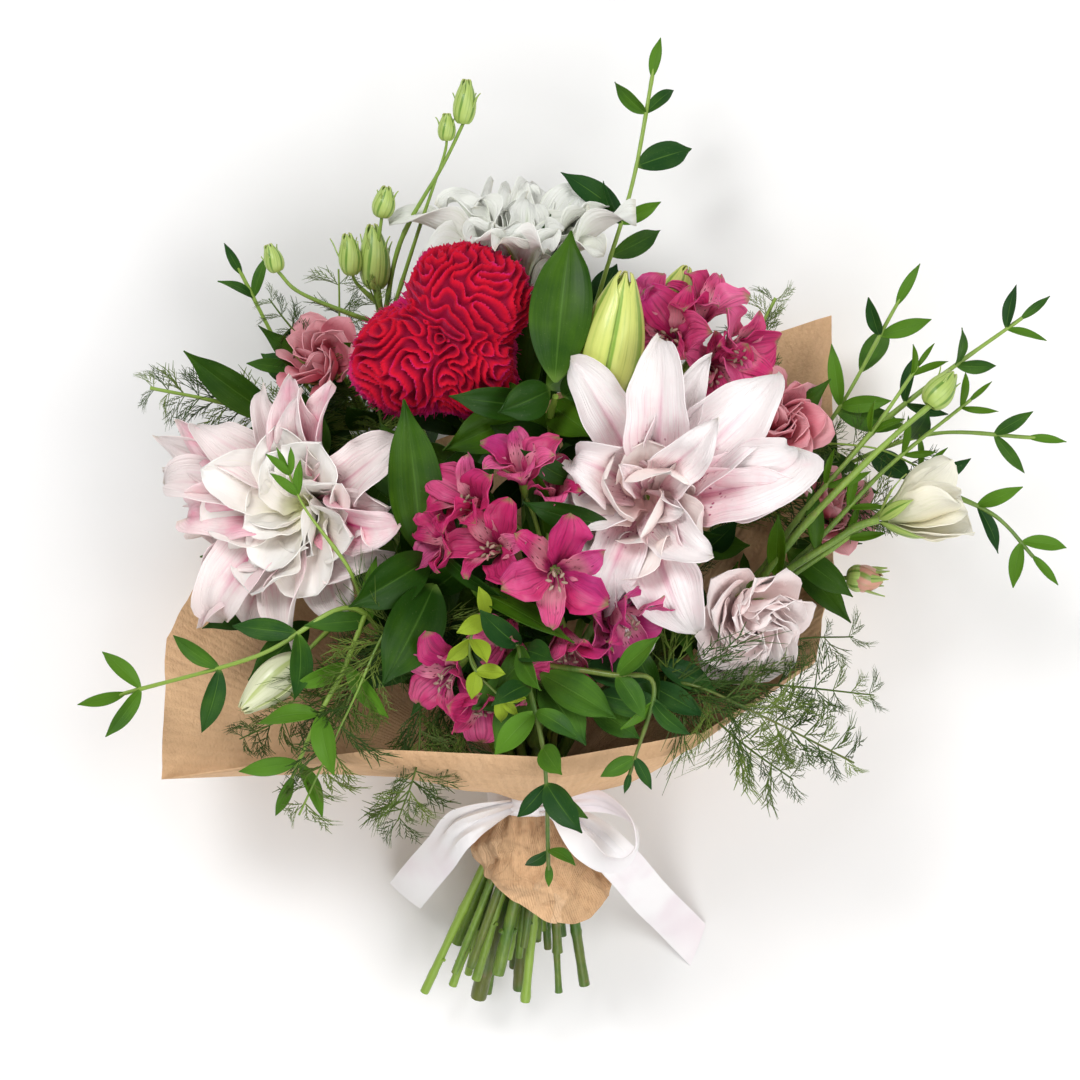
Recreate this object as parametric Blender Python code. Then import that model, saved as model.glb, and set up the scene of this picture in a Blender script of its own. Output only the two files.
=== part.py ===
"""A hand-tied flower bouquet in kraft paper and satin ribbon, lying on its back.

Sizes are in millimetres and become metres where a mesh is made. +Y runs from the cut stems to the
flowers and +Z is up, off the surface that the bouquet lies on. The origin is on the flat spot where
the back of the paper rests. Blooms face up, because that side of the bouquet is its front.
"""

import math
import random

import bmesh
import bpy
import numpy as np
from mathutils.bvhtree import BVHTree

METRES = 0.001

# The gap between touching pieces, and the room that a piece is given when it is bent clear of the others.
GAP = 0.4
GUARD = 0.6
STEM_GUARD = 0.3
TOUCH = 0.02

# Thickness of the paper and of petals and leaves, and how far petals turn so that neighbours don't cross.
SHEET = 0.8
PETAL = 0.7
PINWHEEL = 18.0

# Faces that meet within these angles, in degrees, become one; wider than the last is a sharp edge.
FLAT_ANGLES = (0.6, 0.2)
SHARP_ANGLE = 40.0

# The tie that holds the stems, its slope and the stems' ends. KNEE and CLAMP are distances along it.

TIE = np.array((-6.0, -151.0, 86.0))
TIE_TILT = math.radians(16)
KNEE = 52.0
CLAMP = 14.0
KNEE_SPREAD = 2.3
FOOT = np.array((-20.0, -262.0, 42.0))
FOOT_SPREAD = np.array((2.7, 1.7))
FOOT_TURN = math.radians(22)
BUNDLE_STEP = 0.4

# Binding tape, the paper's neck and the ribbon.
BINDING_WIDTH = 16.0
BINDING_SIDES = 16
BINDING_THICK = 1.2
BAND_THICK = 1.2
NECK_WIDTH = 22.0
RIBBON_WIDTH = 25.0

random.seed(7)

UP = np.array((0.0, 0.0, 1.0))
BUNDLE_SIDE = np.array((1.0, 0.0, 0.0))
BUNDLE_ALONG = np.array((0.0, math.cos(TIE_TILT), math.sin(TIE_TILT)))
BUNDLE_FRONT = np.cross(BUNDLE_SIDE, BUNDLE_ALONG)

COLOURS = {
    "lily_pink": ((0.86, 0.62, 0.70), 0.45),
    "lily_white": ((0.88, 0.87, 0.84), 0.45),
    "lily_bud": ((0.62, 0.72, 0.25), 0.4),
    "celosia_red": ((0.62, 0.01, 0.06), 0.8),
    "alstroemeria_pink": ((0.70, 0.07, 0.28), 0.5),
    "bloom_pink": ((0.75, 0.28, 0.36), 0.55),
    "bloom_pale": ((0.85, 0.68, 0.72), 0.55),
    "bloom_cream": ((0.85, 0.84, 0.66), 0.5),
    "stem_green": ((0.18, 0.30, 0.06), 0.5),
    "fern_green": ((0.05, 0.14, 0.03), 0.6),
    "kraft_paper": ((0.52, 0.34, 0.19), 0.8),
    "satin": ((0.86, 0.84, 0.87), 0.35),
    "binding_tape": ((0.16, 0.22, 0.08), 0.7),
}


def unit(v):
    v = np.asarray(v, float)
    return v / np.linalg.norm(v)


def turned_about(v, axis, angle):
    """The vector v turned about a unit axis."""
    return (
        v * math.cos(angle)
        + np.cross(axis, v) * math.sin(angle)
        + axis * (axis @ v) * (1 - math.cos(angle))
    )


def smooth_line(points, count):
    """A smooth curve through the points, as count + 1 evenly numbered points."""
    p = np.asarray(points, float)
    ends = np.vstack([2 * p[0] - p[1], p, 2 * p[-1] - p[-2]])
    out = []
    for u in np.linspace(0, len(p) - 1, count + 1):
        k = min(int(u), len(p) - 2)
        t = u - k
        a, b, c, d = ends[k : k + 4]
        out.append(
            0.5 * (2 * b + (c - a) * t + (2 * a - 5 * b + 4 * c - d) * t**2 + (3 * b - a - 3 * c + d) * t**3)
        )
    return np.array(out)


def directions(line):
    """The unit direction of a line of points at each of them."""
    return np.array([unit(v) for v in np.gradient(line, axis=0)])


def tube(line, radii, sides):
    """A closed round bar along a line of points, with a radius at each."""
    line = np.asarray(line, float)
    along = directions(line)
    side = unit(np.cross(along[0], UP if abs(along[0][2]) < 0.9 else BUNDLE_SIDE))
    points, faces = [], []
    for centre, direction, radius in zip(line, along, radii):
        side = unit(side - direction * (side @ direction))
        other = np.cross(direction, side)
        for k in range(sides):
            a = 2 * math.pi * k / sides
            points.append(centre + radius * (math.cos(a) * side + math.sin(a) * other))
    for i in range(len(line) - 1):
        for k in range(sides):
            a, b = i * sides + k, i * sides + (k + 1) % sides
            faces.append((a, b, b + sides, a + sides))
    last = (len(line) - 1) * sides
    faces.append(tuple(range(sides - 1, -1, -1)))
    faces.append(tuple(range(last, last + sides)))
    return np.array(points), faces


def spike(root, tip, radius, sides=3):
    """A thin pointed bar, such as a needle."""
    points, faces = tube([root, (root + tip) / 2, tip], [radius, radius * 0.8, 0.1], sides)
    tip_ring = range(2 * sides, 3 * sides)
    points = np.vstack([points[: 2 * sides], points[list(tip_ring)].mean(axis=0)])
    faces = [f for f in faces if max(f) < 2 * sides]
    faces += [(sides + k, sides + (k + 1) % sides, 2 * sides) for k in range(sides)]
    return points, faces


def blade(
    length, width, rows=4, cols=2, bow=1.0, full=0.8, lift=0.0, curl=0.0, cup=0.0, wave=0.0, waves=1.5,
    phase=0.0, thick=PETAL, narrow=0.16, twist=0.0,
):
    """A thin petal or leaf along +X with its face to +Z.

    lift and curl, in degrees, are the slope at its root and how far that slope changes towards the tip.
    cup raises both edges, wave ruffles them and twist turns the tip about the midrib.
    """
    t = np.linspace(0, 1, rows + 1)
    s = np.linspace(-1, 1, cols + 1)
    fine = np.linspace(0, 1, 33)
    slope = np.radians(lift + curl * fine)
    run = np.concatenate([[0], np.cumsum((np.cos(slope[1:]) + np.cos(slope[:-1])) / 2)]) / 32
    rise = np.concatenate([[0], np.cumsum((np.sin(slope[1:]) + np.sin(slope[:-1])) / 2)]) / 32
    half = np.maximum(narrow, np.sin(np.pi * t**bow) ** full) * width / 2
    grid = np.zeros((rows + 1, cols + 1, 3))
    for i, ti in enumerate(t):
        a = math.radians(lift + curl * ti)
        centre = np.array((np.interp(ti, fine, run), 0, np.interp(ti, fine, rise))) * length
        along = np.array((math.cos(a), 0, math.sin(a)))
        face = turned_about(np.array((-math.sin(a), 0, math.cos(a))), along, math.radians(twist * ti))
        side = np.cross(face, along)
        for j, sj in enumerate(s):
            ruffle = wave * width * abs(sj) * math.sin(2 * math.pi * waves * ti + phase + 1.3 * sj)
            grid[i, j] = centre + side * sj * half[i] + face * (cup * half[i] * sj**2 + ruffle)
    normal = np.cross(np.gradient(grid, axis=0), np.gradient(grid, axis=1))
    normal /= np.linalg.norm(normal, axis=2, keepdims=True)
    return sheet_solid(grid + normal * thick / 2, grid - normal * thick / 2)


def sheet_solid(top, bottom):
    """A closed thin solid between two grids of points, split into triangles alike on both faces."""
    rows, cols = top.shape[0] - 1, top.shape[1] - 1
    n = (rows + 1) * (cols + 1)
    at = lambda i, j: i * (cols + 1) + j
    faces = []
    for i in range(rows):
        for j in range(cols):
            a, b, c, d = at(i, j), at(i + 1, j), at(i + 1, j + 1), at(i, j + 1)
            faces += [(a, b, c), (a, c, d)]
            faces += [(n + c, n + b, n + a), (n + d, n + c, n + a)]
    rim = [at(i, 0) for i in range(rows)] + [at(rows, j) for j in range(cols)]
    rim += [at(i, cols) for i in range(rows, 0, -1)] + [at(0, j) for j in range(cols, 0, -1)]
    for a, b in zip(rim, rim[1:] + rim[:1]):
        faces.append((n + a, n + b, b, a))
    return np.vstack([top.reshape(-1, 3), bottom.reshape(-1, 3)]), faces


def placed(shape, origin, along, face):
    """The shape with its +X along one direction and its +Z as near another as that allows."""
    x = unit(along)
    z = unit(face - x * (x @ face))
    y = np.cross(z, x)
    points, faces = shape
    return points @ np.array((x, y, z)) + origin, faces


def ball(centre, along, radii, rings=4, sides=6):
    """A round lump along a direction: radii are its half length and half width."""
    line, widths = [], []
    for k in range(rings + 1):
        a = math.pi * (0.08 + 0.84 * k / rings)
        line.append(np.asarray(centre) - unit(along) * radii[0] * math.cos(a))
        widths.append(radii[1] * math.sin(a))
    return tube(line, widths, sides)


def flower_frame(axis):
    """Two directions across a flower's axis: its right and its top as seen from the front."""
    axis = unit(axis)
    level = BUNDLE_SIDE if abs(axis[0]) < 0.95 else -UP
    right = unit(level - axis * (axis @ level))
    return right, np.cross(axis, right)


def outward(axis, azimuth):
    """The direction across a flower's axis at an azimuth in degrees."""
    right, top = flower_frame(axis)
    a = math.radians(azimuth)
    return right * math.cos(a) + top * math.sin(a)


class Clearance:
    """What stands already, so that what comes later is bent clear of it."""

    def __init__(self):
        self.stands = []

    def grown(self, shape, guard):
        points, faces = shape
        normals = np.zeros_like(points)
        for face in faces:
            corner = points[list(face)]
            normal = np.cross(corner[1] - corner[0], corner[2] - corner[0])
            if len(face) > 3:
                normal = normal + np.cross(corner[2] - corner[0], corner[3] - corner[0])
            for k in face:
                normals[k] += normal
        lengths = np.linalg.norm(normals, axis=1, keepdims=True)
        return points + normals / np.maximum(lengths, 1e-9) * guard, faces

    def blocked_by(self, node, shape, guard=GUARD):
        """The name of a node that the shape comes too near, or None."""
        points, faces = self.grown(shape, guard)
        low, high = points.min(axis=0), points.max(axis=0)
        tree = None
        for owner, other, other_low, other_high in self.stands:
            if owner == node or (low > other_high).any() or (high < other_low).any():
                continue
            tree = tree or BVHTree.FromPolygons(points.tolist(), faces)
            if tree.overlap(other):
                return owner
        return None

    def stand(self, node, shape):
        points, faces = shape
        tree = BVHTree.FromPolygons(points.tolist(), faces)
        self.stands.append((node, tree, points.min(axis=0), points.max(axis=0)))


class Bouquet:
    """The pieces of the bouquet, each a list of overlapping shapes that end as one body."""

    def __init__(self):
        self.parts = {}
        self.colour = {}
        self.clearance = Clearance()
        self.dropped = []

    def node(self, name, colour):
        self.parts[name] = []
        self.colour[name] = colour
        return name

    def add(self, node, shape, why="fixed"):
        """Adds a shape that has to stand where it is."""
        blocker = self.clearance.blocked_by(node, shape, TOUCH)
        if blocker:
            self.dropped.append((node, why, "crosses " + blocker))
        self.parts[node].append(shape)
        self.clearance.stand(node, shape)

    def add_clear(self, node, versions, why=None):
        """Adds the first of a few versions of a shape that stands clear of the other nodes."""
        blocker = None
        for shape in versions:
            if shape[0][:, 2].min() < 0.2:
                blocker = blocker or "the surface"
                continue
            found = self.clearance.blocked_by(node, shape)
            if not found:
                self.parts[node].append(shape)
                self.clearance.stand(node, shape)
                return True
            blocker = blocker or found
        if why:
            self.dropped.append((node, why, "left out for " + str(blocker)))
        return False


# Stems. Each is listed with its radius and the points it passes after it leaves the tie. The last point
# is where its flower, bud or tip leaf begins.

STEMS = {
    "lily_right_stem": (3.6, [(50, -20, 118), (66, 26, 150)]),
    "lily_left_stem": (3.6, [(-100, -10, 88), (-128, 24, 112)]),
    "lily_top_stem": (3.6, [(-10, 70, 88), (-12, 138, 112)]),
    "celosia_stem": (4.6, [(-40, 40, 82), (-52, 106, 112)]),
    "alstroemeria_centre_stem": (2.9, [(-4, -50, 130), (2, -14, 172)]),
    "alstroemeria_upper_stem": (2.9, [(60, 50, 82), (88, 104, 118)]),
    "alstroemeria_low_stem": (2.9, [(-30, -75, 132), (-42, -62, 160)]),
    "rose_left_stem": (3.1, [(-95, 55, 60), (-124, 102, 88)]),
    "rose_right_stem": (3.1, [(108, 30, 66), (138, 66, 100)]),
    "rose_low_stem": (3.1, [(120, -34, 72), (168, 14, 94)]),
    "lisianthus_pale_stem": (2.7, [(82, -70, 112), (112, -34, 138)]),
    "lisianthus_cream_stem": (2.9, [(84, -66, 106), (136, -26, 130), (176, 0, 140), (202, 12, 138)]),
    "lisianthus_bud_stem": (2.7, [(-70, 60, 60), (-92, 118, 92), (-99, 152, 104)]),
    "ruscus_left_stem": (2.4, [(-62, -60, 116), (-72, -20, 156)]),
    "ruscus_middle_stem": (2.4, [(8, 10, 112), (6, 66, 160), (9, 84, 184)]),
    "ruscus_outer_stem": (2.4, [(-100, 20, 58), (-152, 66, 84)]),
    "eucalyptus_top_stem": (2.5, [(20, 90, 66), (36, 150, 88), (56, 216, 96), (69, 286, 88)]),
    "eucalyptus_left_stem": (2.4, [(-120, 60, 46), (-156, 112, 66), (-184, 166, 78)]),
    "eucalyptus_low_left_stem": (2.5, [(-78, -80, 132), (-111, -40, 166), (-166, -68, 168), (-250, -92, 142)]),
    "eucalyptus_front_stem": (2.5, [(6, -100, 166), (-12, -62, 206), (2, -122, 222), (5, -192, 196)]),
    "eucalyptus_right_stem": (2.4, [(120, 20, 50), (172, 66, 84), (218, 146, 96)]),
    "eucalyptus_far_right_stem": (2.5, [(120, 12, 50), (178, 42, 76), (236, 64, 100), (300, 62, 94)]),
    "fern_left_stem": (2.1, [(-100, 40, 46), (-120, 96, 66), (-122, 164, 96)]),
    "fern_low_left_stem": (2.1, [(-60, -90, 140), (-84, -48, 178), (-112, -100, 192), (-142, -162, 166)]),
    "fern_low_right_stem": (2.1, [(56, -96, 142), (84, -84, 180), (132, -104, 184), (186, -132, 152)]),
    "fern_right_stem": (2.1, [(110, 0, 60), (150, 52, 92), (196, 56, 118), (232, 42, 116)]),
}


# The way each bloom faces. Its stem ends along the same direction.
HEAD_AXES = {
    "lily_right_stem": (-0.15, -0.05, 1), "lily_left_stem": (-0.45, -0.1, 1), "lily_top_stem": (0, 1, 0.3),
    "rose_left_stem": (-0.5, 0.5, 1), "rose_right_stem": (0.5, 0.4, 1), "rose_low_stem": (0.7, 0.2, 1),
    "lisianthus_pale_stem": (0.4, -0.5, 1), "lisianthus_cream_stem": (1, 0.3, 0.12),
}
APPROACH = 14.0


def pack_bundle(names):
    """Slots of the stems across the tie: near where each one's flower points, and touching none."""
    want, radii = [], []
    for name in names:
        radius, points = STEMS[name]
        reach = np.array(points[min(1, len(points) - 1)], float) - TIE
        far = max(reach @ BUNDLE_ALONG, 60)
        want.append((reach @ BUNDLE_SIDE / far * 22, reach @ BUNDLE_FRONT / far * 22))
        radii.append(radius + BUNDLE_STEP / 2)
    slots, radii = np.array(want), np.array(radii)
    for step in range(3000):
        if step < 2400:
            slots *= 0.9965
        for i in range(len(slots)):
            away = slots[i] - slots
            apart = np.linalg.norm(away, axis=1)
            apart[i] = 1e9
            deep = radii[i] + radii - apart
            for j in np.nonzero(deep > 0)[0]:
                push = away[j] / max(apart[j], 1e-6) * deep[j] / 2
                slots[i] += push
                slots[j] -= push
    return {name: slot for name, slot in zip(names, slots - slots.mean(axis=0))}


def bundle_point(slot, along, spread):
    return TIE + BUNDLE_ALONG * along + (BUNDLE_SIDE * slot[0] + BUNDLE_FRONT * slot[1]) * spread


def below_tie(slot, y):
    """Where a stem is below the tie, at the height y of the bouquet; the bundle turns as it spreads."""
    turned = FOOT_SPREAD * (
        slot[0] * math.cos(FOOT_TURN) - slot[1] * math.sin(FOOT_TURN),
        slot[0] * math.sin(FOOT_TURN) + slot[1] * math.cos(FOOT_TURN),
    )
    start = TIE - BUNDLE_ALONG * CLAMP
    share = (start[1] - y) / (start[1] - FOOT[1])
    across = slot * (1 - share) + turned * share
    middle = start * (1 - share) + FOOT * share
    return np.array((middle[0] + across[0], y, middle[2] + across[1]))


def stem_versions(radius, points, axis, slot, foot_y):
    """A stem's line from its cut end through its slot in the tie, with small bends to try."""
    low = [below_tie(slot, foot_y), bundle_point(slot, -CLAMP, 1.0), bundle_point(slot, CLAMP, 1.0)]
    shin, knee = bundle_point(slot, KNEE * 0.6, 1.55), bundle_point(slot, KNEE, KNEE_SPREAD)
    for k in range(STEM_TRIES):
        bend = 0 if k == 0 else 3 + 0.5 * k
        nudges = [np.array([random.uniform(-bend, bend) for _ in range(3)]) for _ in points]
        nudges[-1] = nudges[-1] * 0.15
        high = [shin, knee] + [np.array(p, float) + n for p, n in zip(points, nudges)]
        if axis is not None:
            high.insert(-1, high[-1] - unit(axis) * APPROACH)
        line = np.vstack([low, smooth_line(high, 2 * (len(high) - 1))])
        thin = np.linspace(1.0, 0.8, len(line)) ** 1.5
        thin[:4] = 1.0
        yield line, tube(line, radius * thin, STEM_SIDES)


STEM_SIDES = 5
STEM_TRIES = 80
FOOT_STEP = 4.4


def add_stems(b, slots):
    """All stems, the thick ones first; each is bent a little until it is clear of the rest."""
    lines = {}
    for number, name in enumerate(slots):
        radius, points = STEMS[name]
        foot_y = FOOT[1] + ((number * 37) % 11 - 5) * FOOT_STEP
        b.node(name, "fern_green" if name.startswith("fern") else "stem_green")
        versions = stem_versions(radius, points, HEAD_AXES.get(name), slots[name], foot_y)
        for line, shape in versions:
            if not b.clearance.blocked_by(name, shape, STEM_GUARD):
                break
        else:
            b.dropped.append((name, "stem", "still crosses " + b.clearance.blocked_by(name, shape, STEM_GUARD)))
        b.parts[name].append(shape)
        b.clearance.stand(name, shape)
        lines[name] = line
    return lines


# The kraft paper: for each place round the tie, the angle there, the rim point it rises to, the control
# point that bends the wall on its way, and how far the skirt below the tie reaches.

PAPER_WALL = [
    (88, (12, -127, 195), (8, -158, 160), 74),
    (60, (96, -113, 180), (56, -146, 150), 50),
    (35, (165, -72, 124), (104, -112, 116), 30),
    (10, (179, -12, 72), (112, -78, 62), 26),
    (-20, (179, 138, 60), (118, 0, 20), 24),
    (-50, (90, 110, 0.4), (48, -30, -50), 26),
    (-88, (0, 90, 0.4), (-3, -60, -50), 30),
    (-122, (-96, 50, 0.4), (-50, -60, -50), 26),
    (-150, (-200, -5, 40), (-104, -92, 10), 24),
    (-168, (-228, -60, 75), (-120, -118, 62), 26),
    (-188, (-228, -144, 110), (-118, -140, 92), 30),
    (-215, (-144, -130, 150), (-84, -138, 126), 38),
    (-240, (-93, -123, 178), (-52, -144, 150), 46),
]
PAPER_RISE = (0.0, 0.25, 0.5, 0.75, 1.0)
SKIRT_FLARE = 15.0
SKIRT_CREASE = 3.5
PLEAT = 1.6


def neck_ring(radius, angles, along):
    return np.array([
        TIE + BUNDLE_ALONG * along
        + (BUNDLE_SIDE * math.cos(math.radians(a)) + BUNDLE_FRONT * math.sin(math.radians(a))) * radius
        for a in angles
    ])


def ring_solid(inner, outer):
    """A closed band between an inner and an outer grid of points that run round a ring."""
    rows, cols = inner.shape[0], inner.shape[1]
    n = rows * cols
    faces = []
    for i in range(rows - 1):
        for j in range(cols):
            k = (j + 1) % cols
            a, b_, c, d = i * cols + j, (i + 1) * cols + j, (i + 1) * cols + k, i * cols + k
            faces += [(n + a, n + b_, n + c), (n + a, n + c, n + d), (c, b_, a), (d, c, a)]
    for j in range(cols):
        k = (j + 1) % cols
        top, low = (rows - 1) * cols, 0
        faces.append((top + j, top + k, n + top + k, n + top + j))
        faces.append((low + k, low + j, n + low + j, n + low + k))
    return np.vstack([inner.reshape(-1, 3), outer.reshape(-1, 3)]), faces


def paper_angles():
    angles = []
    rows = PAPER_WALL + [(PAPER_WALL[0][0] - 360,) + PAPER_WALL[0][1:]]
    for (a, *_), (c, *_) in zip(rows, rows[1:]):
        angles += [a, (a + c) / 2]
    return angles


def paper_shape(neck_radius):
    """The wrap: one sheet that flares from the neck to its rim, and below the tie to its skirt."""
    angles = paper_angles()
    rows = PAPER_WALL + [(PAPER_WALL[0][0] - 360,) + PAPER_WALL[0][1:]]
    half = NECK_WIDTH / 2
    columns = []
    for this, following in zip(rows, rows[1:]):
        for part in (0.0, 0.5):
            mix = lambda p, q: np.asarray(p, float) * (1 - part) + np.asarray(q, float) * part
            columns.append([mix(this[k], following[k]) for k in (1, 2, 3)])
    grid = []
    for depth, flare in ((1.0, 1.0), (0.5, 0.75)):
        ring = []
        for k, (a, (_, _, skirt)) in enumerate(zip(angles, columns)):
            crease = SKIRT_CREASE * math.sin(k * 2.1) * depth
            reach = neck_ring(neck_radius + SKIRT_FLARE * flare + crease, [a], -half - skirt * depth)[0]
            ring.append(reach)
        grid.append(ring)
    grid.append(list(neck_ring(neck_radius, angles, -half)))
    for share in PAPER_RISE:
        ring = []
        for k, (a, (rim, bend, _)) in enumerate(zip(angles, columns)):
            start = neck_ring(neck_radius, [a], half)[0]
            p = start * (1 - share) ** 2 + bend * 2 * share * (1 - share) + rim * share**2
            lifted = p[2] > 6
            if lifted and 0.1 < share < 1:
                p = p + unit(p - TIE - BUNDLE_ALONG * 90) * PLEAT * (1 if k % 2 else -1)
            p[2] = max(p[2], SHEET / 2)
            ring.append(p)
        grid.append(ring)
    grid = np.array(grid)
    around = np.roll(grid, -1, axis=1) - np.roll(grid, 1, axis=1)
    normal = np.cross(np.gradient(grid, axis=0), around)
    normal /= np.linalg.norm(normal, axis=2, keepdims=True)
    flat = grid[:, :, 2] < SHEET / 2 + 0.01
    normal[flat] = (0, 0, 1 if normal[flat].mean(axis=0)[2] > 0 else -1)
    outside = normal * SHEET / 2
    away = grid[2] - TIE
    if (outside[2] * away).sum() < 0:
        outside = -outside
    return ring_solid(grid - outside, grid + outside), angles


def add_wrap(b, bundle_radius):
    """The binding round the stems, the paper and the ribbon, each with a small gap to the next."""
    around = [k * 360 / BINDING_SIDES for k in range(BINDING_SIDES)]
    facet = 1 / math.cos(math.radians(180 / BINDING_SIDES))
    inner = (bundle_radius + 0.5) * facet
    outer = inner + BINDING_THICK
    b.node("stem_binding", "binding_tape")
    half = BINDING_WIDTH / 2
    band = ring_solid(
        np.array([neck_ring(inner, around, -half), neck_ring(inner, around, half)]),
        np.array([neck_ring(outer, around, -half), neck_ring(outer, around, half)]),
    )
    b.add("stem_binding", band)
    b.node("paper_wrap", "kraft_paper")
    neck_radius = (outer + GAP + SHEET / 2) * 1.012
    paper, angles = paper_shape(neck_radius)
    b.add("paper_wrap", paper)
    b.node("ribbon_band", "satin")
    low = neck_radius + SHEET / 2 + GAP + 0.2
    high = low + BAND_THICK
    width = NECK_WIDTH / 2 - 2
    b.add("ribbon_band", ring_solid(
        np.array([neck_ring(low, angles, -width), neck_ring(low, angles, width)]),
        np.array([neck_ring(high, angles, -width), neck_ring(high, angles, width)]),
    ))
    return high


def strip(line, sides, widths, thick=0.8, cols=1):
    """A ribbon along a line of points: sides are the directions of its width, one for each point."""
    line = np.asarray(line, float)
    grid = np.array([
        [p + unit(s) * w / 2 * t for t in np.linspace(-1, 1, cols + 1)]
        for p, s, w in zip(line, sides, widths)
    ])
    normal = np.cross(np.gradient(grid, axis=0), np.gradient(grid, axis=1))
    normal /= np.linalg.norm(normal, axis=2, keepdims=True)
    return sheet_solid(grid + normal * thick / 2, grid - normal * thick / 2)


# The knot, and the points that the two tails and the loop pass after they leave it, with the direction
# across the ribbon at each. The loop also starts with one for the knot.
KNOT_LONG = 13.0
KNOT_THICK = 6.0
TAIL_LEFT = [(-46, -172, 112), (-60, -190, 88), (-74, -208, 52), (-84, -222, 14)]
TAIL_LEFT_SIDES = [(-0.2, 1, 0.3), (0.5, 0.5, 1), (0.8, -0.6, 0.2), (0.9, -0.5, 0)]
TAIL_RIGHT = [(30, -176, 115), (50, -197, 92), (68, -220, 48), (84, -238, 12), (99, -254, 1.2)]
TAIL_RIGHT_SIDES = [(0.5, 0.9, 0), (0.7, 0.6, 0), (0.8, 0.65, 0), (0.8, 0.6, 0), (0.55, 0.85, 0)]
LOOP = [(14, -160, 131), (34, -170, 138), (52, -186, 138), (47, -196, 132), (30, -188, 129)]
LOOP_SIDES = [(0, 1, 0), (-0.3, 1, 0), (-0.5, 0.9, 0.2), (-0.5, 0.7, 0.5), (-0.4, 0.9, 0.3), (-0.4, 0.9, 0)]


def add_ribbon(b, band_radius):
    """The knot over the band, two tails that drape to the surface and a small loop."""
    knot = TIE + BUNDLE_FRONT * (band_radius + KNOT_THICK - 0.9)
    widths = [4.5, 5.6, KNOT_THICK, 5.6, 4.5]
    line = [knot + BUNDLE_SIDE * x for x in np.linspace(-KNOT_LONG, KNOT_LONG, 5)]
    b.add("ribbon_band", tube(line, widths, 6))
    for name, line, sides, start in (
        ("ribbon_tail_left", TAIL_LEFT, TAIL_LEFT_SIDES, -1),
        ("ribbon_tail_right", TAIL_RIGHT, TAIL_RIGHT_SIDES, 1),
    ):
        b.node(name, "satin")
        first = knot + BUNDLE_SIDE * start * (KNOT_LONG + GAP)
        points = smooth_line([first] + line, 10)
        across = smooth_line([BUNDLE_ALONG] + sides, 10)
        spread = np.minimum(RIBBON_WIDTH, 9 + np.arange(11) * 5.0)
        b.add(name, strip(points, across, spread))
    b.node("ribbon_loop", "satin")
    first = knot + BUNDLE_SIDE * (KNOT_LONG * 0.4) + BUNDLE_FRONT * (KNOT_THICK + 0.3)
    points = smooth_line([first] + LOOP, 11)
    across = smooth_line(LOOP_SIDES, 11)
    b.add("ribbon_loop", strip(points, across, np.minimum(8 + 2.0 * np.arange(12), 18)))


def seat(line, axis, radius):
    """Where a head of this radius at its foot sits on the end of a stem with a small gap."""
    end = unit(line[-1] - line[-2])
    lean = math.acos(min(1.0, float(end @ unit(axis))))
    return line[-1] + end * (GAP + radius * math.sin(lean))


def lily(b, name, colour, line, axis, petals, throat=20.0):
    """A lily head: petals are rows of azimuth, length, width, slope at the root, change of slope, height."""
    b.node(name, colour)
    axis = unit(axis)
    start = seat(line, axis, 3.4)
    cup = tube([start, start + axis * throat * 0.5, start + axis * throat], [3.4, 5.6, 5.0], 6)
    b.add(name, cup)
    for azimuth, length, width, lift, curl, height in petals:
        out = outward(axis, azimuth)
        versions = []
        for k in range(26):
            step = ((k + 1) // 2) * (1 if k % 2 else -1) * 2.0
            rows = 4 if length > 70 else 3
            shape = blade(length, width, rows, 2, 1.25, 1.15, lift + step, curl + step * 0.4, 0.16, 0.03,
                          1.5, azimuth, narrow=0.055, twist=3 * step * (k % 3 - 1))
            face = turned_about(axis, out, math.radians(PINWHEEL * 0.6))
            versions.append(placed(shape, start + axis * height + out * 3.2, out, face))
        b.add_clear(name, versions, "petal %d" % azimuth)


LILY_RIGHT = [
    (84, 118, 48, 66, -62, 10), (48, 122, 50, 58, -74, 8), (10, 120, 52, 56, -78, 10), (-65, 96, 54, 60, -66, 8),
    (-35, 74, 40, 66, -30, 14), (-100, 84, 40, 66, -56, 10), (153, 72, 44, 68, -30, 10), (118, 104, 42, 60, -62, 8),
    (70, 92, 36, 70, -30, 15), (200, 66, 40, 66, -40, 12), (20, 52, 22, 76, -8, 16), (140, 50, 20, 78, -10, 16),
]
LILY_LEFT = [
    (95, 92, 40, 62, -62, 8), (35, 96, 44, 60, -70, 8), (-8, 86, 42, 62, -56, 10), (-70, 100, 46, 58, -66, 8),
    (-115, 104, 46, 58, -70, 8), (170, 104, 50, 60, -66, 8), (140, 92, 42, 60, -60, 10), (205, 84, 40, 62, -50, 12),
    (60, 62, 30, 70, -24, 14), (-30, 60, 30, 70, -24, 14), (-95, 62, 30, 72, -22, 14),
]
LILY_TOP = [
    (0, 84, 42, 62, -66, 6), (180, 92, 44, 60, -66, 6), (60, 82, 40, 66, -52, 8), (120, 84, 42, 64, -54, 8),
    (-60, 76, 38, 66, -50, 8), (-120, 72, 38, 68, -48, 8), (30, 62, 30, 72, -26, 12), (150, 62, 30, 72, -26, 12),
    (90, 56, 26, 74, -20, 14), (-90, 54, 24, 76, -20, 12),
]


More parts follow.
